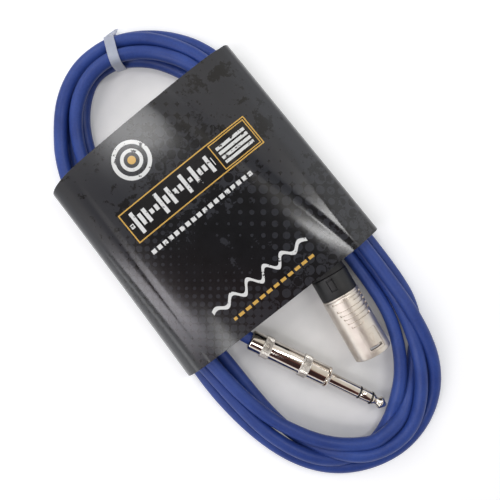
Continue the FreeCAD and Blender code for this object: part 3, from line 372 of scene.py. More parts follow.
def facesBetween(bm, along, turns, beyond=0.0):
    # Faces of a turned shape between two places on its axis and two turns from straight up towards +Y,
    # and farther from the axis than "beyond"
    picked = []
    for face in bm.faces:
        middle = face.calc_center_median()
        turn = math.degrees(math.atan2(middle.y, middle.z))
        if along[0] < middle.x < along[1] and turns[0] < turn < turns[1] and fromAxis(middle) > beyond:
            picked.append(face)
    return picked


# Jack plug, X along its axis from the shoulder out to the tip; corners are as in outlineEdges
jack = {
    "shoulder": (-7.65, -73.8, 6.5), "angle": -65.2, "steps": 72,
    "tipProfile": [(31.75, 0.75, 0.35, 2), (28.95, 3.1, 0.6, 4), (28.2, 3.05, 0.5, 3), (26.75, 1.9, 0.4, 3),
                   (25.85, 1.9, 0.4, 3), (24.6, 2.85, 0.25, 2), (23.9, 3.0)],
    "tipEnd": 31.75, "tipBack": 23.9, "ringFront": 22.95, "ringBack": 17.45, "sleeveFront": 16.5,
    "tipRear": -10.0, "tipCollarRear": -9.0, "ringRear": -8.5, "ringCollarRear": -7.5, "sleeveRear": -7.0,
    "rod": 0.9, "tipTube": 1.25, "ringTube": 1.7, "sleeveBore": 2.2, "shaft": 3.175, "shaftEdge": (0.15, 2),
    "ring": 3.08, "ringEdge": (0.15, 2), "collar": 3.22, "collarEdge": (0.2, 3),
}
jackPlace = Matrix.Translation(jack["shoulder"]) @ Matrix.Rotation(math.radians(jack["angle"]), 4, "Z")

tipShape = turnedShape(
    [(jack["tipRear"], 0.0), (jack["tipEnd"], 0.0)] + jack["tipProfile"]
    + [(jack["tipBack"], jack["rod"]), (jack["tipRear"], jack["rod"])], jack["steps"])
finishPiece("jackTip", tipShape, "cable", ["jack_tip"], "plug_nickel", jackPlace)

# The two collars and the ring are bands, each on a tube that runs back into the plug.
for name, node, slot, front, back, rear, inner, outer, kind in (
        ("jackTipCollar", "jack_tip_insulator", "black_insulator",
         "tipBack", "ringFront", "tipCollarRear", "rod", "tipTube", "collar"),
        ("jackRingCollar", "jack_ring_insulator", "black_insulator",
         "ringBack", "sleeveFront", "ringCollarRear", "ringTube", "sleeveBore", "collar"),
        ("jackRing", "jack_ring", "plug_nickel",
         "ringFront", "ringBack", "ringRear", "tipTube", "ringTube", "ring")):
    band = jack[kind], *jack[kind + "Edge"]
    bandShape = turnedShape([
        (jack[rear], jack[inner]), (jack[front], jack[inner]), (jack[front], *band), (jack[back], *band),
        (jack[back], jack[outer]), (jack[rear], jack[outer])], jack["steps"])
    finishPiece(name, bandShape, "cable", [node], slot, jackPlace)

# Sleeve contact with its milled flange and the thread behind it
flange = {
    "profile": [(0.6, 3.175, 0.2, 2), (0.0, 3.775), (0.0, 5.0, 0.3, 2), (-1.3, 5.2, 0.15, 2), (-1.3, 4.55)],
    "teeth": 60, "toothDepth": 0.16, "toothFoot": 4.9, "thread": 4.7, "threadStart": -2.0, "threadTurns": 8,
    "threadPitch": 0.6, "threadDepth": 0.22, "tail": 4.5,
}
threadCorners = []
for turn in range(flange["threadTurns"]):
    start = flange["threadStart"] - turn * flange["threadPitch"]
    threadCorners += [(start, flange["thread"]),
                      (start - flange["threadPitch"] / 2, flange["thread"] - flange["threadDepth"])]
sleeveShape = turnedShape(
    [(jack["sleeveRear"], jack["sleeveBore"]), (jack["sleeveFront"], jack["sleeveBore"]),
     (jack["sleeveFront"], jack["shaft"], *jack["shaftEdge"])] + flange["profile"] + threadCorners
    + [(jack["sleeveRear"], flange["tail"])], flange["teeth"] * 2)
gaps = []
for spot in sleeveShape.verts:
    turnIndex = round(math.atan2(spot.co.z, spot.co.y) / math.tau * flange["teeth"] * 2)
    if fromAxis(spot.co) > flange["toothFoot"] and turnIndex % 2:
        gaps.append(spot)
pushOut(gaps, -flange["toothDepth"])
finishPiece("jackSleeve", sleeveShape, "cable", ["jack_sleeve"], "plug_nickel", jackPlace, 25)

# Barrel, with its two knurled bands
barrel = {
    "front": -1.75, "rear": -43.2, "rearWall": 1.5, "radius": 5.2, "bore": 4.75, "cordHole": 3.9,
    "frontEdge": (0.3, 3), "rearEdge": (1.1, 5), "holeEdge": (0.12, 1),
    "bands": (-13.2, -34.0), "bandWidth": 4.7, "bandRadius": 5.6, "bandFoot": 5.0, "bandEdge": 0.25,
    "teeth": 42, "rows": 10, "toothDepth": 0.38,
}
wallFrom = barrel["rear"] + barrel["rearWall"]
barrelShape = turnedShape([
    (barrel["front"], barrel["bore"]), (barrel["front"], barrel["radius"], *barrel["frontEdge"]),
    (barrel["rear"], barrel["radius"], *barrel["rearEdge"]),
    (barrel["rear"], barrel["cordHole"], *barrel["holeEdge"]), (wallFrom, barrel["cordHole"]),
    (wallFrom, barrel["bore"])], jack["steps"])
finishPiece("jackBarrel", barrelShape, "jack_barrel", ["jack_barrel"], "plug_nickel", jackPlace)

half = barrel["bandWidth"] / 2
pitch = (barrel["bandWidth"] - 2 * barrel["bandEdge"]) / barrel["rows"]
knurlFoot = barrel["bandRadius"] - 0.2  # every point of the knurl is farther out
for number, middle in enumerate(barrel["bands"], start=1):
    bandShape = turnedShape([
        (middle + half, barrel["bandFoot"]), (middle + half, barrel["bandRadius"], barrel["bandEdge"], 2),
        (middle - half, barrel["bandRadius"], barrel["bandEdge"], 2), (middle - half, barrel["bandFoot"])],
        barrel["teeth"] * 2)
    lengthways = [e for e in bandShape.edges if abs(e.verts[0].co.x - e.verts[1].co.x) > half
                  and min(fromAxis(v.co) for v in e.verts) > knurlFoot]
    bmesh.ops.subdivide_edges(bandShape, edges=lengthways, cuts=barrel["rows"] - 1, use_grid_fill=True)
    # Points stand out and lie in by turns, like the squares of a chessboard.
    raised, sunk = [], []
    for spot in bandShape.verts:
        along = (spot.co.x - middle + half - barrel["bandEdge"]) / pitch
        around = math.atan2(spot.co.z, spot.co.y) / math.tau * barrel["teeth"] * 2
        if fromAxis(spot.co) > barrel["bandRadius"] - 0.05 and 0.5 < along < barrel["rows"] - 0.5:
            (sunk if (round(along) + round(around)) % 2 else raised).append(spot)
    pushOut(raised, barrel["toothDepth"] / 2)
    pushOut(sunk, -barrel["toothDepth"] / 2)
    bmesh.ops.poke(bandShape, faces=[f for f in bandShape.faces if min(fromAxis(v.co) for v in f.verts) > knurlFoot
                                     and abs(f.calc_center_median().x - middle) < half - 0.3])
    finishPiece("jackBand%d" % number, bandShape, "jack_barrel", (), "plug_nickel", jackPlace, 20,
                [skins["knurled_nickel"]])
print("jack plug ready")

# Three-pin plug, X along its axis from the rear out to the nose at zero
plugSizes = {"nose": (17.25, -77.2, 10.3), "angle": -99.4, "roll": -18.0, "steps": 120}
plugPlace = (Matrix.Translation(plugSizes["nose"])
             @ Matrix.Rotation(math.radians(plugSizes["angle"]), 4, "Z")
             @ Matrix.Rotation(math.radians(plugSizes["roll"]), 4, "X"))

# Each grip groove: its place along the axis and the turns, from straight up, between which it runs
shell = {
    "radius": 9.5, "bore": 7.95, "noseInside": (0.35, 3), "noseEdge": (0.6, 4), "boreStep": -16.0,
    "rear": -33.0, "rearBore": 8.3, "rearEdge": (0.3, 2), "line": -31.9, "lineHalf": 0.3, "lineDepth": 0.2,
    "grips": [(-17.3, -42, -4), (-19.6, -47, 40), (-21.9, -52, 58), (-24.2, -57, 60), (-26.5, -60, 60),
              (-28.8, 4, 60), (-30.6, -62, 60)],
    "gripWidth": 0.9, "gripDepth": 0.62, "gripEdge": 0.1, "slot": (-4.9, -3.4), "slotTurn": (-26.0, 14.0),
}
outer, bore = shell["radius"], shell["bore"]
half = shell["gripWidth"] / 2
slotRear, slotFront = shell["slot"]
gripStops = []
for middle, first, last in shell["grips"]:
    gripStops += [(middle + half, outer), (middle - half, outer)]
shellShape = turnedShape(
    [(0.0, bore, *shell["noseInside"]), (0.0, outer, *shell["noseEdge"]), (slotFront, outer), (slotRear, outer)]
    + gripStops
    + [(shell["line"] + shell["lineHalf"], outer), (shell["line"], outer - shell["lineDepth"]),
       (shell["line"] - shell["lineHalf"], outer), (shell["rear"], outer, *shell["rearEdge"]),
       (shell["rear"], shell["rearBore"]), (shell["boreStep"], shell["rearBore"]), (shell["boreStep"], bore),
       (slotRear, bore), (slotFront, bore)], plugSizes["steps"])
grooves = []
for middle, first, last in shell["grips"]:
    grooves += facesBetween(shellShape, (middle - half, middle + half), (first, last), shell["rearBore"])
bmesh.ops.inset_region(shellShape, faces=grooves, thickness=shell["gripEdge"], depth=0.0, use_even_offset=True)
pushOut(vertsOf(grooves), -shell["gripDepth"])
bmesh.ops.delete(shellShape, geom=facesBetween(shellShape, shell["slot"], shell["slotTurn"]), context="FACES")
bmesh.ops.bridge_loops(shellShape, edges=[e for e in shellShape.edges if e.is_boundary])
finishPiece("plugShell", shellShape, "cable", ["xlr_shell"], "shell_nickel", plugPlace)

# Mark over the latch slot: a raised frame round a triangle that points to the nose
mark = {"frame": (-13.2, -2.3), "frameSides": (-5.2, 3.4), "triangle": [(-10.9, -2.9), (-10.9, 1.3), (-6.4, -0.8)],
        "line": 0.42, "high": 0.26, "under": 0.1, "bends": 7, "straight": 1.5}


def wrapOnto(bm, radius):
    # Lays a flat shape, drawn with its height in Z, onto a cylinder round X.
    for spot in bm.verts:
        turn = spot.co.y / radius
        reach = radius + spot.co.z
        spot.co.y = math.sin(turn) * reach
        spot.co.z = math.cos(turn) * reach


markShape = bmesh.new()
rear, front = mark["frame"]
left, right = mark["frameSides"]
for corners in ([(rear, left), (front, left), (front, right), (rear, right)], mark["triangle"]):
    markShape.faces.new([markShape.verts.new((a, b, -mark["under"])) for a, b in corners])
for face in markShape.faces[:]:
    bmesh.ops.inset_region(markShape, faces=[face], thickness=mark["line"], use_even_offset=True,
                           use_boundary=True)
    bmesh.ops.delete(markShape, geom=[face], context="FACES")
longEdges = [e for e in markShape.edges if e.calc_length() > mark["straight"]]
bmesh.ops.subdivide_edges(markShape, edges=longEdges, cuts=mark["bends"], use_grid_fill=True)
raisedParts = bmesh.ops.extrude_face_region(markShape, geom=markShape.faces[:])
bmesh.ops.translate(markShape, vec=(0, 0, mark["high"] + mark["under"]), verts=newVerts(raisedParts))
wrapOnto(markShape, shell["radius"])
finishPiece("plugMark", markShape, "cable", (), "shell_nickel", plugPlace, 30)

# Bushing with a U-shaped moulded recess
bushing = {"radius": 9.3, "front": -33.05, "rear": -44.0, "edge": (0.3, 3), "bore": 7.3, "neck": 8.2,
           "neckFront": -28.0, "neckEdge": (0.2, 1), "tail": 7.6, "tailRear": -47.5, "cordHole": 5.3,
           "cone": (-47.0, -38.0)}
recess = {"along": (-42.6, -36.4), "turn": (-41.0, -20.0), "edge": 0.25, "wall": 0.45, "step": 0.15, "deep": 0.45,
          "back": 0.36}
coneRear, coneFront = bushing["cone"]
recessRear, recessFront = recess["along"]
bushingShape = turnedShape([
    (bushing["neckFront"], bushing["bore"]), (bushing["neckFront"], bushing["neck"], *bushing["neckEdge"]),
    (bushing["front"], bushing["neck"]), (bushing["front"], bushing["radius"], *bushing["edge"]),
    (recessFront, bushing["radius"]), (recessRear, bushing["radius"]),
    (bushing["rear"], bushing["radius"], *bushing["edge"]), (bushing["rear"], bushing["tail"]),
    (bushing["tailRear"], bushing["tail"]), (bushing["tailRear"], bushing["cordHole"]),
    (coneRear, bushing["cordHole"]), (coneFront, bushing["bore"])], plugSizes["steps"])
recessFaces = facesBetween(bushingShape, recess["along"], recess["turn"], bushing["bore"])
bmesh.ops.inset_region(bushingShape, faces=recessFaces, thickness=recess["edge"], use_even_offset=True)
pushOut(vertsOf(recessFaces), -recess["deep"])
for thickness in (recess["wall"], recess["step"]):
    bmesh.ops.inset_region(bushingShape, faces=recessFaces, thickness=thickness, use_even_offset=True)
pushOut(vertsOf(recessFaces), recess["back"])
finishPiece("plugBushing", bushingShape, "xlr_bushing", ["xlr_bushing"], "black_plastic", plugPlace)

# Rubber boot, ringed so that it bends
boot = {"collar": [(-44.05, 7.6), (-44.05, 9.1, 0.4, 3)], "front": (-50.0, 8.4), "frontEdge": (0.6, 3),
        "rear": (-63.0, 4.8), "rearEdge": (0.5, 3), "hole": 3.6, "holeEdge": (0.2, 1), "inside": (-47.5, 7.6),
        "grooves": (-53.0, -56.0, -59.0), "width": 1.2, "deep": 0.8, "grooveEdge": (0.2, 2), "steps": 80}
frontX, frontRadius = boot["front"]
rearX, rearRadius = boot["rear"]
insideX, insideRadius = boot["inside"]
bootCorners = boot["collar"] + [(frontX, frontRadius, *boot["frontEdge"])]
for middle in boot["grooves"]:
    for end, drop in ((0.5, 0), (0.4, 1), (-0.4, 1), (-0.5, 0)):
        along = middle + end * boot["width"]
        taper = frontRadius + (along - frontX) * (frontRadius - rearRadius) / (frontX - rearX)
        bootCorners.append((along, taper - drop * boot["deep"], *boot["grooveEdge"]))
bootCorners += [(rearX, rearRadius, *boot["rearEdge"]), (rearX, boot["hole"], *boot["holeEdge"]),
                (insideX, boot["hole"]), (insideX, insideRadius)]
finishPiece("plugBoot", turnedShape(bootCorners, boot["steps"]), "xlr_bushing", ["xlr_boot"], "black_rubber",
            plugPlace, 50)
print("three-pin plug ready")

# Wires inside the two plugs, each a smooth run from the jacket's end to its tab or cup
wireSizes = {"core": 1.2, "shield": 1.0, "sides": 4, "between": 6}
wires = {
    "jackRingWire": ("jack_ring_wire", "wire_white", "core", jackPlace, [
        (-31.0, 1.2, 0.9), (-28.0, 1.2, 0.9), (-22.0, 1.5, 0.6), (-15.5, 2.0, 0.0), (-10.5, 2.0, 0.0)]),
    "jackTipWire": ("jack_tip_wire", "wire_red", "core", jackPlace, [
        (-31.0, -1.2, 0.9), (-28.0, -1.2, 0.9), (-22.0, -1.4, 0.5), (-16.5, -1.45, 0.0), (-11.5, -1.45, 0.0)]),
    "jackShieldWire": ("jack_shield_wire", "copper", "shield", jackPlace, [
        (-31.0, 0.0, -1.5), (-28.0, 0.0, -1.5), (-25.0, 0.0, -2.75), (-22.0, 0.0, -2.75)]),
}
# In the three-pin plug each wire spreads from the cable's end (place along the axis, distance from it).
plugWireRun = ((-39.0, 1.4), (-37.0, 1.4), (-33.0, 3.6), (-28.0, 3.6))
for name, node, slot, kind, turn in (
        ("plugShieldWire", "xlr_shield_wire", "copper", "shield", 165.0),
        ("plugHotWire", "xlr_hot_wire", "wire_red", "core", 15.0),
        ("plugColdWire", "xlr_cold_wire", "wire_white", "core", 270.0)):
    aside = Vector((0.0, math.cos(math.radians(turn)), math.sin(math.radians(turn))))
    run = [aside * reach + Vector((along, 0, 0)) for along, reach in plugWireRun]
    wires[name] = (node, slot, kind, plugPlace, run)
for name, (node, slot, kind, place, run) in wires.items():
    wire = smoothCurve(name, [place @ Vector(point) for point in run], wireSizes[kind], skins[slot],
                       wireSizes["sides"], wireSizes["between"])
    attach(wire, "cable")
    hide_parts(node)
print("wires soldered")

# Card sleeve: a flat outline with rounded corners, drawn out along Y, then eased
card = {
    "left": -57.0, "right": 57.0, "top": 22.0, "side": 12.5, "fold": 43.0, "creaseFoot": 41.0, "creaseHead": 14.0,
    "low": -30.4, "length": 114.3, "thickness": 0.5, "cutEdge": 0.1, "lowCorner": (4.4, 5), "sideCorner": (3.2, 5),
    "rollCorner": (15.0, 16), "widthCuts": 58, "slopeCuts": 9, "lengthCuts": 44,
}
# Pairs are a value at the low end of the card and what it gains by the far end.
ease = {
    "roll": (-42.0, 7.0), "rollRadius": 15.0, "rollPower": (2.0, 1.9), "frontEnd": 54.0, "frontLift": 0.4,
    "fall": 0.098, "fallBlend": (1.0, 30.0), "creaseRoll": 0.062, "creaseLeft": (13.0, -6.0), "creaseRight": 6.0,
    "foldBlend": (0.3, 3.0), "dome": 0.6, "domeMiddle": -2.0, "domeHalf": 40.0,
    "earlyFrom": -27.0, "earlyOver": 15.0, "earlyFall": 1.1, "leanFrom": -20.0, "leanOver": 37.0,
    "lean": (-3.6, 6.0), "cutFrom": -34.0, "cutOver": 20.0, "cutBack": 2.6, "rightFrom": 50.0, "rightOut": 0.4,
    "skew": (-1.3, 2.4), "shorten": 0.6, "crinkle": 0.14, "crinkleFrom": 3.0, "crinkleScale": 0.04,
}


def softMin(first, second, blend):
    gap = first - second
    return (first + second - math.sqrt(gap * gap + blend * blend)) / 2


def grown(key, up):
    start, gain = ease[key]
    return start + gain * up


def easeCard(spot):
    x, y, z = spot.co
    up = (y - card["low"]) / card["length"]
    rollX, rollZ = ease["roll"]
    if x < rollX and z > rollZ:
        # The left roll is round at the near end and squarer towards the far one.
        square = grown("rollPower", up * up)
        turn = math.atan2(z - rollZ, rollX - x)
        reach = ease["rollRadius"] * (math.cos(turn) ** square + math.sin(turn) ** square) ** (-1.0 / square)
        x = rollX - math.cos(turn) * reach
        z = rollZ + math.sin(turn) * reach
    foot, end = card["creaseFoot"], ease["frontEnd"]
    crease = foot + (card["creaseHead"] - foot) * up
    if z > card["side"] and rollX < x < end:
        # The front's columns fan out from its crease, and it falls to the right of that.
        if x <= foot:
            x = rollX + (x - rollX) * (crease - rollX) / (foot - rollX)
        else:
            x = crease + (x - foot) * (end - crease) / (end - foot)
        past = x - crease
        fall = ease["fall"] * (past + math.sqrt(past * past + grown("fallBlend", up) ** 2)) / 2
        creaseLeft = grown("creaseLeft", up)
        share = 1.0 + past / creaseLeft if past < 0.0 else 1.0 - past / ease["creaseRight"]
        creaseRoll = ease["creaseRoll"] * creaseLeft * max(0.0, share) ** 3
        front = card["top"] + ease["frontLift"] - fall - creaseRoll
        slope = card["side"] + (card["right"] - x) * (card["top"] - card["side"]) / (card["right"] - card["fold"])
        z = softMin(front, slope, grown("foldBlend", up))
        z += ease["dome"] * max(0.0, 1.0 - ((x - ease["domeMiddle"]) / ease["domeHalf"]) ** 2)
    if x < ease["earlyFrom"] and z > rollZ:
        # Near its low end the front starts to fall before the left roll does.
        early = min((ease["earlyFrom"] - x) / ease["earlyOver"], 1.0)
        z -= ease["earlyFall"] * (1.0 - up) * early * early * (z - rollZ) / ease["rollRadius"]
    if x < ease["leanFrom"]:
        # The left side tapers, and its far corner is cut back.
        x += grown("lean", up) * min((ease["leanFrom"] - x) / ease["leanOver"], 1.0)
        y -= ease["cutBack"] * up * up * max(0.0, (ease["cutFrom"] - x) / ease["cutOver"]) ** 2
    if x > ease["rightFrom"]:
        x += ease["rightOut"]
    y += x / card["right"] * grown("skew", up) - ease["shorten"] * up
    if z > ease["crinkleFrom"]:
        z += ease["crinkle"] * noise.noise(Vector((x, y, z)) * ease["crinkleScale"])
    spot.co = (x, y, z)


cardShape = bmesh.new()
outlineEdges(cardShape, [
    (card["left"], 0.0, *card["lowCorner"]), (card["right"], 0.0, *card["lowCorner"]),
    (card["right"], card["side"], *card["sideCorner"]), (card["fold"], card["top"]),
    (card["creaseFoot"], card["top"]), (card["left"], card["top"], *card["rollCorner"])])
# Cuts across its straights, the two long ones first
for shortest, cuts in ((50.0, card["widthCuts"]), (6.0, card["slopeCuts"])):
    straights = [e for e in cardShape.edges if e.calc_length() > shortest]
    bmesh.ops.subdivide_edges(cardShape, edges=straights, cuts=cuts)
bmesh.ops.translate(cardShape, vec=(0, card["low"], 0), verts=cardShape.verts[:])
drawn = bmesh.ops.extrude_edge_only(cardShape, edges=cardShape.edges[:])
bmesh.ops.translate(cardShape, vec=(0, card["length"], 0), verts=newVerts(drawn))
lengthwise = [e for e in cardShape.edges if abs(e.verts[0].co.y - e.verts[1].co.y) > card["length"] / 2]
bmesh.ops.subdivide_edges(cardShape, edges=lengthwise, cuts=card["lengthCuts"], use_grid_fill=True)
for spot in cardShape.verts:
    easeCard(spot)

# The print, in millimetres on the card. A box is its middle and its half sizes, across and along.
design = {
    "white": (226, 226, 224), "yellow": (216, 172, 86), "panelGround": (17, 17, 19), "back": (21, 22, 24),
    "fields": ((35, 37, 42), (48, 49, 54)), "ground": ((6, 7, 10), (19, 20, 24)),
    "inside": ((178, 176, 170), (206, 204, 198)), "frontFrom": 1.6, "leftShift": 0.57,
    "panel": (2.0, 43.0, 38.0, 8.4), "badge": (28.0, 43.0, 10.4, 6.8), "badgeBars": (28.0, 43.0, 8.4, 4.9),
    "badgeStep": 2.5, "barStep": 2.9, "barHalf": 0.95, "barLow": 1.1, "barSwing": 4.6, "barsMiddle": -9.6,
    "barsHalf": 25.0, "marks": (-4.0, 27.6, 30.0, 1.1), "markStep": 3.4, "markLength": 2.3,
    "ringMiddle": (-14.0, 67.5), "rings": ((8.6, 2.0), (4.6, 1.7)), "ringDot": 2.0,
    "waveMiddle": (-2.0, -12.6), "waveHalf": 28.0, "waveHigh": 2.6, "waveTurn": 0.62, "waveSwell": 0.045,
    "waveLine": 2.0, "dashes": (0.0, -20.8, 24.0, 0.75), "dashStep": 4.2, "dashLength": 2.9,
    "gridTurn": (0.774, 0.633), "rightDotsFrom": -8.0, "dotTones": 0.018, "dotMost": 0.8,
    "leftDots": {"pitch": 3.7, "middle": (-4.0, 6.0), "fade": 26.0, "base": 0.3, "gain": 0.011},
    "rightDots": {"pitch": 5.4, "middle": (-2.0, 4.0), "fade": 30.0, "base": 0.37, "gain": 0.0035},
}


def makeCardSkin():
    # Glossy dark print: grey fields that break up into dots and splashes, under the design in white and yellow
    skin, tree, shader = newSkin("card", {"Coat Weight": 1.0, "Coat Roughness": 0.17, "Specular IOR Level": 0.06})
    coords = addNode(tree, "TexCoord").outputs["Object"]
    parts = addNode(tree, "SeparateXYZ", {0: coords})

    add, less, times, over, within = mathOf(tree, "ADD", "SUBTRACT", "MULTIPLY", "DIVIDE", "FLOORED_MODULO")
    most, least, below, above = mathOf(tree, "MAXIMUM", "MINIMUM", "LESS_THAN", "GREATER_THAN")
    size, root, whole, broken, sine, cosine = mathOf(tree, "ABSOLUTE", "SQRT", "FLOOR", "FRACT", "SINE", "COSINE")

    x, y, z = [times(part, 1 / mm) for part in parts.outputs]
    # The print follows the card down its sides.
    leftDrop = times(below(x, ease["roll"][0]), most(less(card["top"], z), 0.0))
    rightDrop = times(above(x, ease["rightFrom"]), most(less(card["side"], z), 0.0))
    x = add(less(x, times(leftDrop, design["leftShift"])), rightDrop)

    def farFrom(middleX, middleY):
        offX, offY = less(x, middleX), less(y, middleY)
        return root(add(times(offX, offX), times(offY, offY)))

    def boxGap(middleX, middleY, halfX, halfY):
        # Negative inside the box
        return most(less(size(less(x, middleX)), halfX), less(size(less(y, middleY)), halfY))

    def line(gap, width):
        return below(size(gap), width / 2)

    def dashed(box, step, length):
        return times(below(boxGap(*box), 0.0), below(within(x, step), length))

    broad = cloud(tree, coords, 24.0, 3.0, 0.5)
    patchy = cloud(tree, coords, 90.0, 9.0, 0.72)

    def dots(pitch, middle, fade, base, gain):
        # Dots on a square grid that lies turned on the card; each dot's size follows the tone at its middle.
        gridX, gridY = design["gridTurn"]
        across = over(less(times(x, gridX), times(y, gridY)), pitch)
        along = over(add(times(x, gridY), times(y, gridX)), pitch)
        cell = addNode(tree, "CombineXYZ", {0: whole(across), 1: whole(along), 2: pitch})
        inX, inY = less(broken(across), 0.5), less(broken(along), 0.5)
        away = root(add(times(inX, inX), times(inY, inY)))
        tone = cloud(tree, cell.outputs[0], design["dotTones"] * pitch, 1.0)
        far = farFrom(*middle)
        spread = least(times(far, base / fade), add(base, times(less(far, fade), gain)))
        return below(away, least(add(less(tone, 0.5), spread), design["dotMost"]))

    onRight = above(add(x, times(less(broad, 0.5), 60.0)), design["rightDotsFrom"])
    screened = blendColours(tree, onRight, dots(**design["leftDots"]), dots(**design["rightDots"]))
    splash = ramp(tree, add(times(broad, 0.5), times(patchy, 0.6)), [(0.618, 0.0), (0.628, 1.0)])
    scratch = ramp(tree, add(times(broad, -0.3), patchy), [(0.245, 0.0), (0.255, 1.0)])
    field = size(less(screened, splash))
    light, dark = [ramp(tree, texture, [(0.3, rgb(*design[key][0])), (0.7, rgb(*design[key][1]))])
                   for texture, key in ((broad, "fields"), (patchy, "ground"))]
    base = blendColours(tree, times(field, scratch), dark, light)

    # Framed panel with level bars and a badge of stripes
    panel = boxGap(*design["panel"])
    base = blendColours(tree, below(panel, 0.0), base, rgb(*design["panelGround"]))
    frames = most(line(add(panel, 0.5), 0.6), line(boxGap(*design["badge"]), 0.5))
    step = design["barStep"]
    column = whole(over(x, step))
    quick, slow = [sine(times(column, rate)) for rate in (1.9, 0.7)]
    tall = add(design["barLow"], times(size(add(times(quick, 0.6), times(slow, 0.5))), design["barSwing"]))
    bars = times(below(size(less(within(x, step), step / 2)), design["barHalf"]),
                 below(size(less(y, design["panel"][1])), tall))
    whites = times(bars, below(size(less(x, design["barsMiddle"])), design["barsHalf"]))
    step = design["badgeStep"]
    stripes = below(size(less(within(y, step), step / 2)), 0.8)
    whites = most(whites, times(below(boxGap(*design["badgeBars"]), 0.0), stripes))

    # A row of marks under it, rings over it, and a wave with a dashed line
    whites = most(whites, dashed(design["marks"], design["markStep"], design["markLength"]))
    fromRings = farFrom(*design["ringMiddle"])
    for radius, width in design["rings"]:
        whites = most(whites, line(less(fromRings, radius), width))
    waveX, waveY = design["waveMiddle"]
    swell = times(design["waveHigh"], cosine(times(less(x, waveX), design["waveSwell"])))
    wave = times(sine(times(x, design["waveTurn"])), swell)
    onWave = line(less(less(y, waveY), wave), design["waveLine"])
    whites = most(whites, times(onWave, below(size(less(x, waveX)), design["waveHalf"])))
    scuffed = ramp(tree, cloud(tree, coords, 330.0, 8.0, 0.7), [(0.40, 0.0), (0.42, 1.0)])
    base = blendColours(tree, times(whites, scuffed), base, rgb(*design["white"]))
    yellows = most(frames, below(fromRings, design["ringDot"]))
    yellows = most(yellows, dashed(design["dashes"], design["dashStep"], design["dashLength"]))
    base = blendColours(tree, yellows, base, rgb(*design["yellow"]))

    # The back is plain and dark.
    base = blendColours(tree, above(z, design["frontFrom"]), rgb(*design["back"]), base)
    plug(tree, base, shader, "Base Color")
    plug(tree, ramp(tree, patchy, [(0.3, 0.42), (0.7, 0.56)]), shader, "Roughness")
    relief(tree, shader, cloud(tree, coords, 260.0, 3.0), 0.1, 0.05)
    return skin


def makeCardInside():
    # Bare grey board with its fibres along the card
    skin, tree, shader = newSkin("card_inside")
    fibres = cloud(tree, places(tree, scale=(1.0, 0.25, 1.0)), 900.0, 5.0)
    deep, pale = design["inside"]
    plug(tree, ramp(tree, fibres, [(0.3, rgb(*deep)), (0.7, rgb(*pale))]), shader, "Base Color")
    plug(tree, ramp(tree, fibres, [(0.3, 0.8), (0.7, 0.95)]), shader, "Roughness")
    relief(tree, shader, fibres, 0.3, 0.05)
    return skin


def addWall(piece, name, thickness, offset):
    wall = piece.modifiers.new(name, "SOLIDIFY")
    wall.thickness = thickness * mm
    wall.offset = offset
    return wall


def roundEdges(piece, name, width, segments, angle):
    edges = piece.modifiers.new(name, "BEVEL")
    edges.width = width * mm
    edges.segments = segments
    edges.limit_method = "ANGLE"
    edges.angle_limit = math.radians(angle)
    edges.harden_normals = True


skins["card"] = makeCardSkin()
cardSleeve = finishPiece("cardSleeve", cardShape, "sleeve", ["card_sleeve"], "card", Matrix(), 60,
                         [skins["card"], makeCardInside()])
board = addWall(cardSleeve, "board", card["thickness"], -1)
board.material_offset = 1
board.material_offset_rim = 0
roundEdges(cardSleeve, "cut_edges", card["cutEdge"], 1, 60)
print("card sleeve folded")

# Tie: a flat strap pulled round the bundle, X across it and Y along the cable. Its loose end is cut at a
# slant, in rows of (across, up, first and last along).
tie = {"middle": (11.95, 116.3, 0.0), "turn": 67.7, "width": 5.0, "thickness": 0.6, "edge": 0.15, "endCuts": 4,
       "corners": [(13.07, 0.7, 5.4, 8), (6.55, 15.02, 1.6, 5), (-7.32, 19.19, 5.2, 8), (-5.66, 0.7, 3.2, 7)],
       "end": [(11.5, 4.6, -2.5, 2.5), (12.5, 3.1, -2.7, 2.2), (13.6, 2.0, -3.2, 0.4), (14.9, 1.5, -3.8, -2.4)]}
tiePlace = Matrix.Translation(tie["middle"]) @ Matrix.Rotation(math.radians(tie["turn"]), 4, "Z")
tieShape = bmesh.new()
outlineEdges(tieShape, tie["corners"])
bmesh.ops.translate(tieShape, vec=(0, -tie["width"] / 2, 0), verts=tieShape.verts[:])
strap = bmesh.ops.extrude_edge_only(tieShape, edges=tieShape.edges[:])
bmesh.ops.translate(tieShape, vec=(0, tie["width"], 0), verts=newVerts(strap))

endShape = bmesh.new()
rows = len(tie["end"]) - 1
bmesh.ops.create_grid(endShape, x_segments=rows, y_segments=tie["endCuts"], size=0.5)
for spot in endShape.verts:
    across, up, first, last = tie["end"][round((spot.co.x + 0.5) * rows)]
    spot.co = (across, first + (last - first) * (spot.co.y + 0.5), up)

for name, shape, nodes in (("cableTie", tieShape, ["cable_tie"]), ("tieEnd", endShape, ())):
    strapPiece = finishPiece(name, shape, "cable", nodes, "strap_plastic", tiePlace)
    addWall(strapPiece, "strap", tie["thickness"], 1)
    roundEdges(strapPiece, "edges", tie["edge"], 2, 30)
print("tie strapped")

# Finishes on the frame's own pieces
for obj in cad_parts.values():
    for holder in obj.material_slots:
        holder.material = skins[holder.material.name.split(".")[0]]
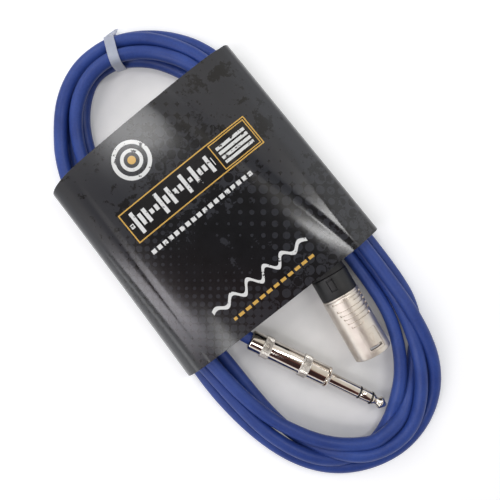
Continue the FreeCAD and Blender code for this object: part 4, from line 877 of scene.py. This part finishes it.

# Floor, white, with painted shade inside the coil: a mottled light grey there, where the lift to the camera is
# smaller. Outside it is a little lighter to the camera and in reflections, so that it reads white.
room = {"floorSize": 3000.0, "floorDrop": 0.3, "white": (250, 250, 250), "inner": (49.0, 118.0), "innerPower": 2.6,
        "innerShadeTones": ((226, 225, 223), (234, 232, 230)), "floorLift": 0.24,
        "innerPaintedLight": [(0.02, 0.12), (0.09, 0.55)], "farLift": [(0.3, 0.0), (1.0, 0.75)]}
floorShape = bmesh.new()
bmesh.ops.create_grid(floorShape, x_segments=1, y_segments=1, size=room["floorSize"] / 2 * mm)
floorData = bpy.data.meshes.new("floor")
floorShape.to_mesh(floorData)
floorShape.free()
floor = addObject("floor", floorData)
floor.location.z = -room["floorDrop"] * mm


def seenOrMirrored(tree):
    # 1 for rays of the camera, in glossy reflections and through clear plastic
    path = addNode(tree, "LightPath").outputs
    most, = mathOf(tree, "MAXIMUM")
    return most(most(path["Is Camera Ray"], path["Is Transmission Ray"]), path["Is Glossy Ray"])


def makeFloorSkin():
    skin, tree, shader = newSkin("floor", {"Roughness": 0.7, "Specular IOR Level": 0.2,
                                           "Emission Color": (1, 1, 1, 1)})
    coords = addNode(tree, "TexCoord").outputs["Object"]
    parts = addNode(tree, "SeparateXYZ", {0: coords})
    add, less, times, over = mathOf(tree, "ADD", "SUBTRACT", "MULTIPLY", "DIVIDE")
    size, power, root, below = mathOf(tree, "ABSOLUTE", "POWER", "SQRT", "LESS_THAN")
    offX, offY = [size(part) for part in parts.outputs[:2]]
    halfX, halfY = room["inner"]
    across = power(over(offX, halfX * mm), room["innerPower"])
    along = power(over(offY, halfY * mm), room["innerPower"])
    inside = below(add(across, along), 1.0)
    # Painted shade: the floor inside the coil is a mottled light grey.
    deep, pale = room["innerShadeTones"]
    innerShade = ramp(tree, cloud(tree, coords, 60.0, 3.0), [(0.3, rgb(*deep)), (0.7, rgb(*pale))])
    plug(tree, blendColours(tree, inside, rgb(*room["white"]), innerShade), shader, "Base Color")
    # Painted light: inside the coil the lift is smaller than outside and grows towards the coil's far end.
    upper = ramp(tree, parts.outputs[1], room["innerPaintedLight"])
    share = add(less(1.0, inside), times(inside, upper))
    distant = ramp(tree, root(add(power(offX, 2.0), power(offY, 2.0))), room["farLift"])
    lift = add(times(share, room["floorLift"]), distant)
    plug(tree, times(seenOrMirrored(tree), lift), shader, "Emission Strength")
    return skin


floorData.materials.append(makeFloorSkin())
print("floor laid")

lamps = {
    "sheen": {"place": (6, 300, 660), "aim": (0, 60, 0), "size": (150, 100), "power": 0.36},
    "upper": {"place": (-60, 560, 560), "size": (600, 300), "power": 1.3},
    "nearLeft": {"place": (-232, -130, 680), "size": (110, 160), "power": 0.34},
    "left": {"place": (-430, 20, 560), "size": (150, 360), "power": 1.05, "tint": (0.97, 0.94, 1.0)},
    "right": {"place": (396, -20, 700), "size": (60, 360), "power": 1.1},
    "window": {"place": (-620, -60, 190), "size": (360, 140), "power": 0.25},
}
for name, sizes in lamps.items():
    light = bpy.data.lights.new(name, "AREA")
    light.shape = "RECTANGLE"
    light.size = sizes["size"][0] * mm
    light.size_y = sizes["size"][1] * mm
    light.energy = sizes["power"]
    light.color = sizes.get("tint", (1.0, 1.0, 1.0))
    lamp = addObject(name, light)
    lamp.location = Vector(sizes["place"]) * mm
    toAim = (Vector(sizes.get("aim", (0, 0, 0))) - Vector(sizes["place"])).normalized()
    lamp.rotation_euler = toAim.to_track_quat("-Z", "Y").to_euler()

# The room round the floor, for the camera and in reflections: white walls, a cream and then a dark ceiling,
# and something dark red-brown beside the camera. The object itself gets an even, soft light.
sky = {
    "walls": [(0.0, (1, 1, 1, 1)), (0.42, (1, 1, 1, 1)), (0.6, (0.8, 0.77, 0.72, 1)), (0.91, (0.72, 0.67, 0.6, 1)),
              (0.955, (0.12, 0.09, 0.075, 1)), (1.0, (0.03, 0.024, 0.022, 1))],
    "darkWay": (-0.361, -0.446, 0.819), "darkShare": [(0.83, 0.0), (0.87, 1.0)],
    "darkColours": [(0.87, (0.2, 0.065, 0.05, 1)), (0.94, (0.04, 0.022, 0.022, 1))],
    "soft": (0.97, 0.98, 1.0, 1), "softStrength": 0.34,
}
world = bpy.data.worlds.new("studio")
scene.world = world
world.use_nodes = True
tree = world.node_tree
tree.nodes.clear()
seen = seenOrMirrored(tree)
toSky = addNode(tree, "TexCoord").outputs["Generated"]
upward = addNode(tree, "SeparateXYZ", {0: toSky}).outputs[2]
near = addNode(tree, "VectorMath", {0: toSky, 1: sky["darkWay"]}, operation="DOT_PRODUCT").outputs["Value"]
around = blendColours(tree, ramp(tree, near, sky["darkShare"]), ramp(tree, upward, sky["walls"]),
                      ramp(tree, near, sky["darkColours"]))
surroundings = addNode(tree, "Background", {"Color": around, "Strength": 1.0})
soft = addNode(tree, "Background", {"Color": sky["soft"], "Strength": sky["softStrength"]})
both = addNode(tree, "MixShader", {0: seen, 1: soft.outputs[0], 2: surroundings.outputs[0]})
addNode(tree, "OutputWorld", {0: both.outputs[0]})
scene.view_settings.view_transform = "Standard"
print("studio lit")
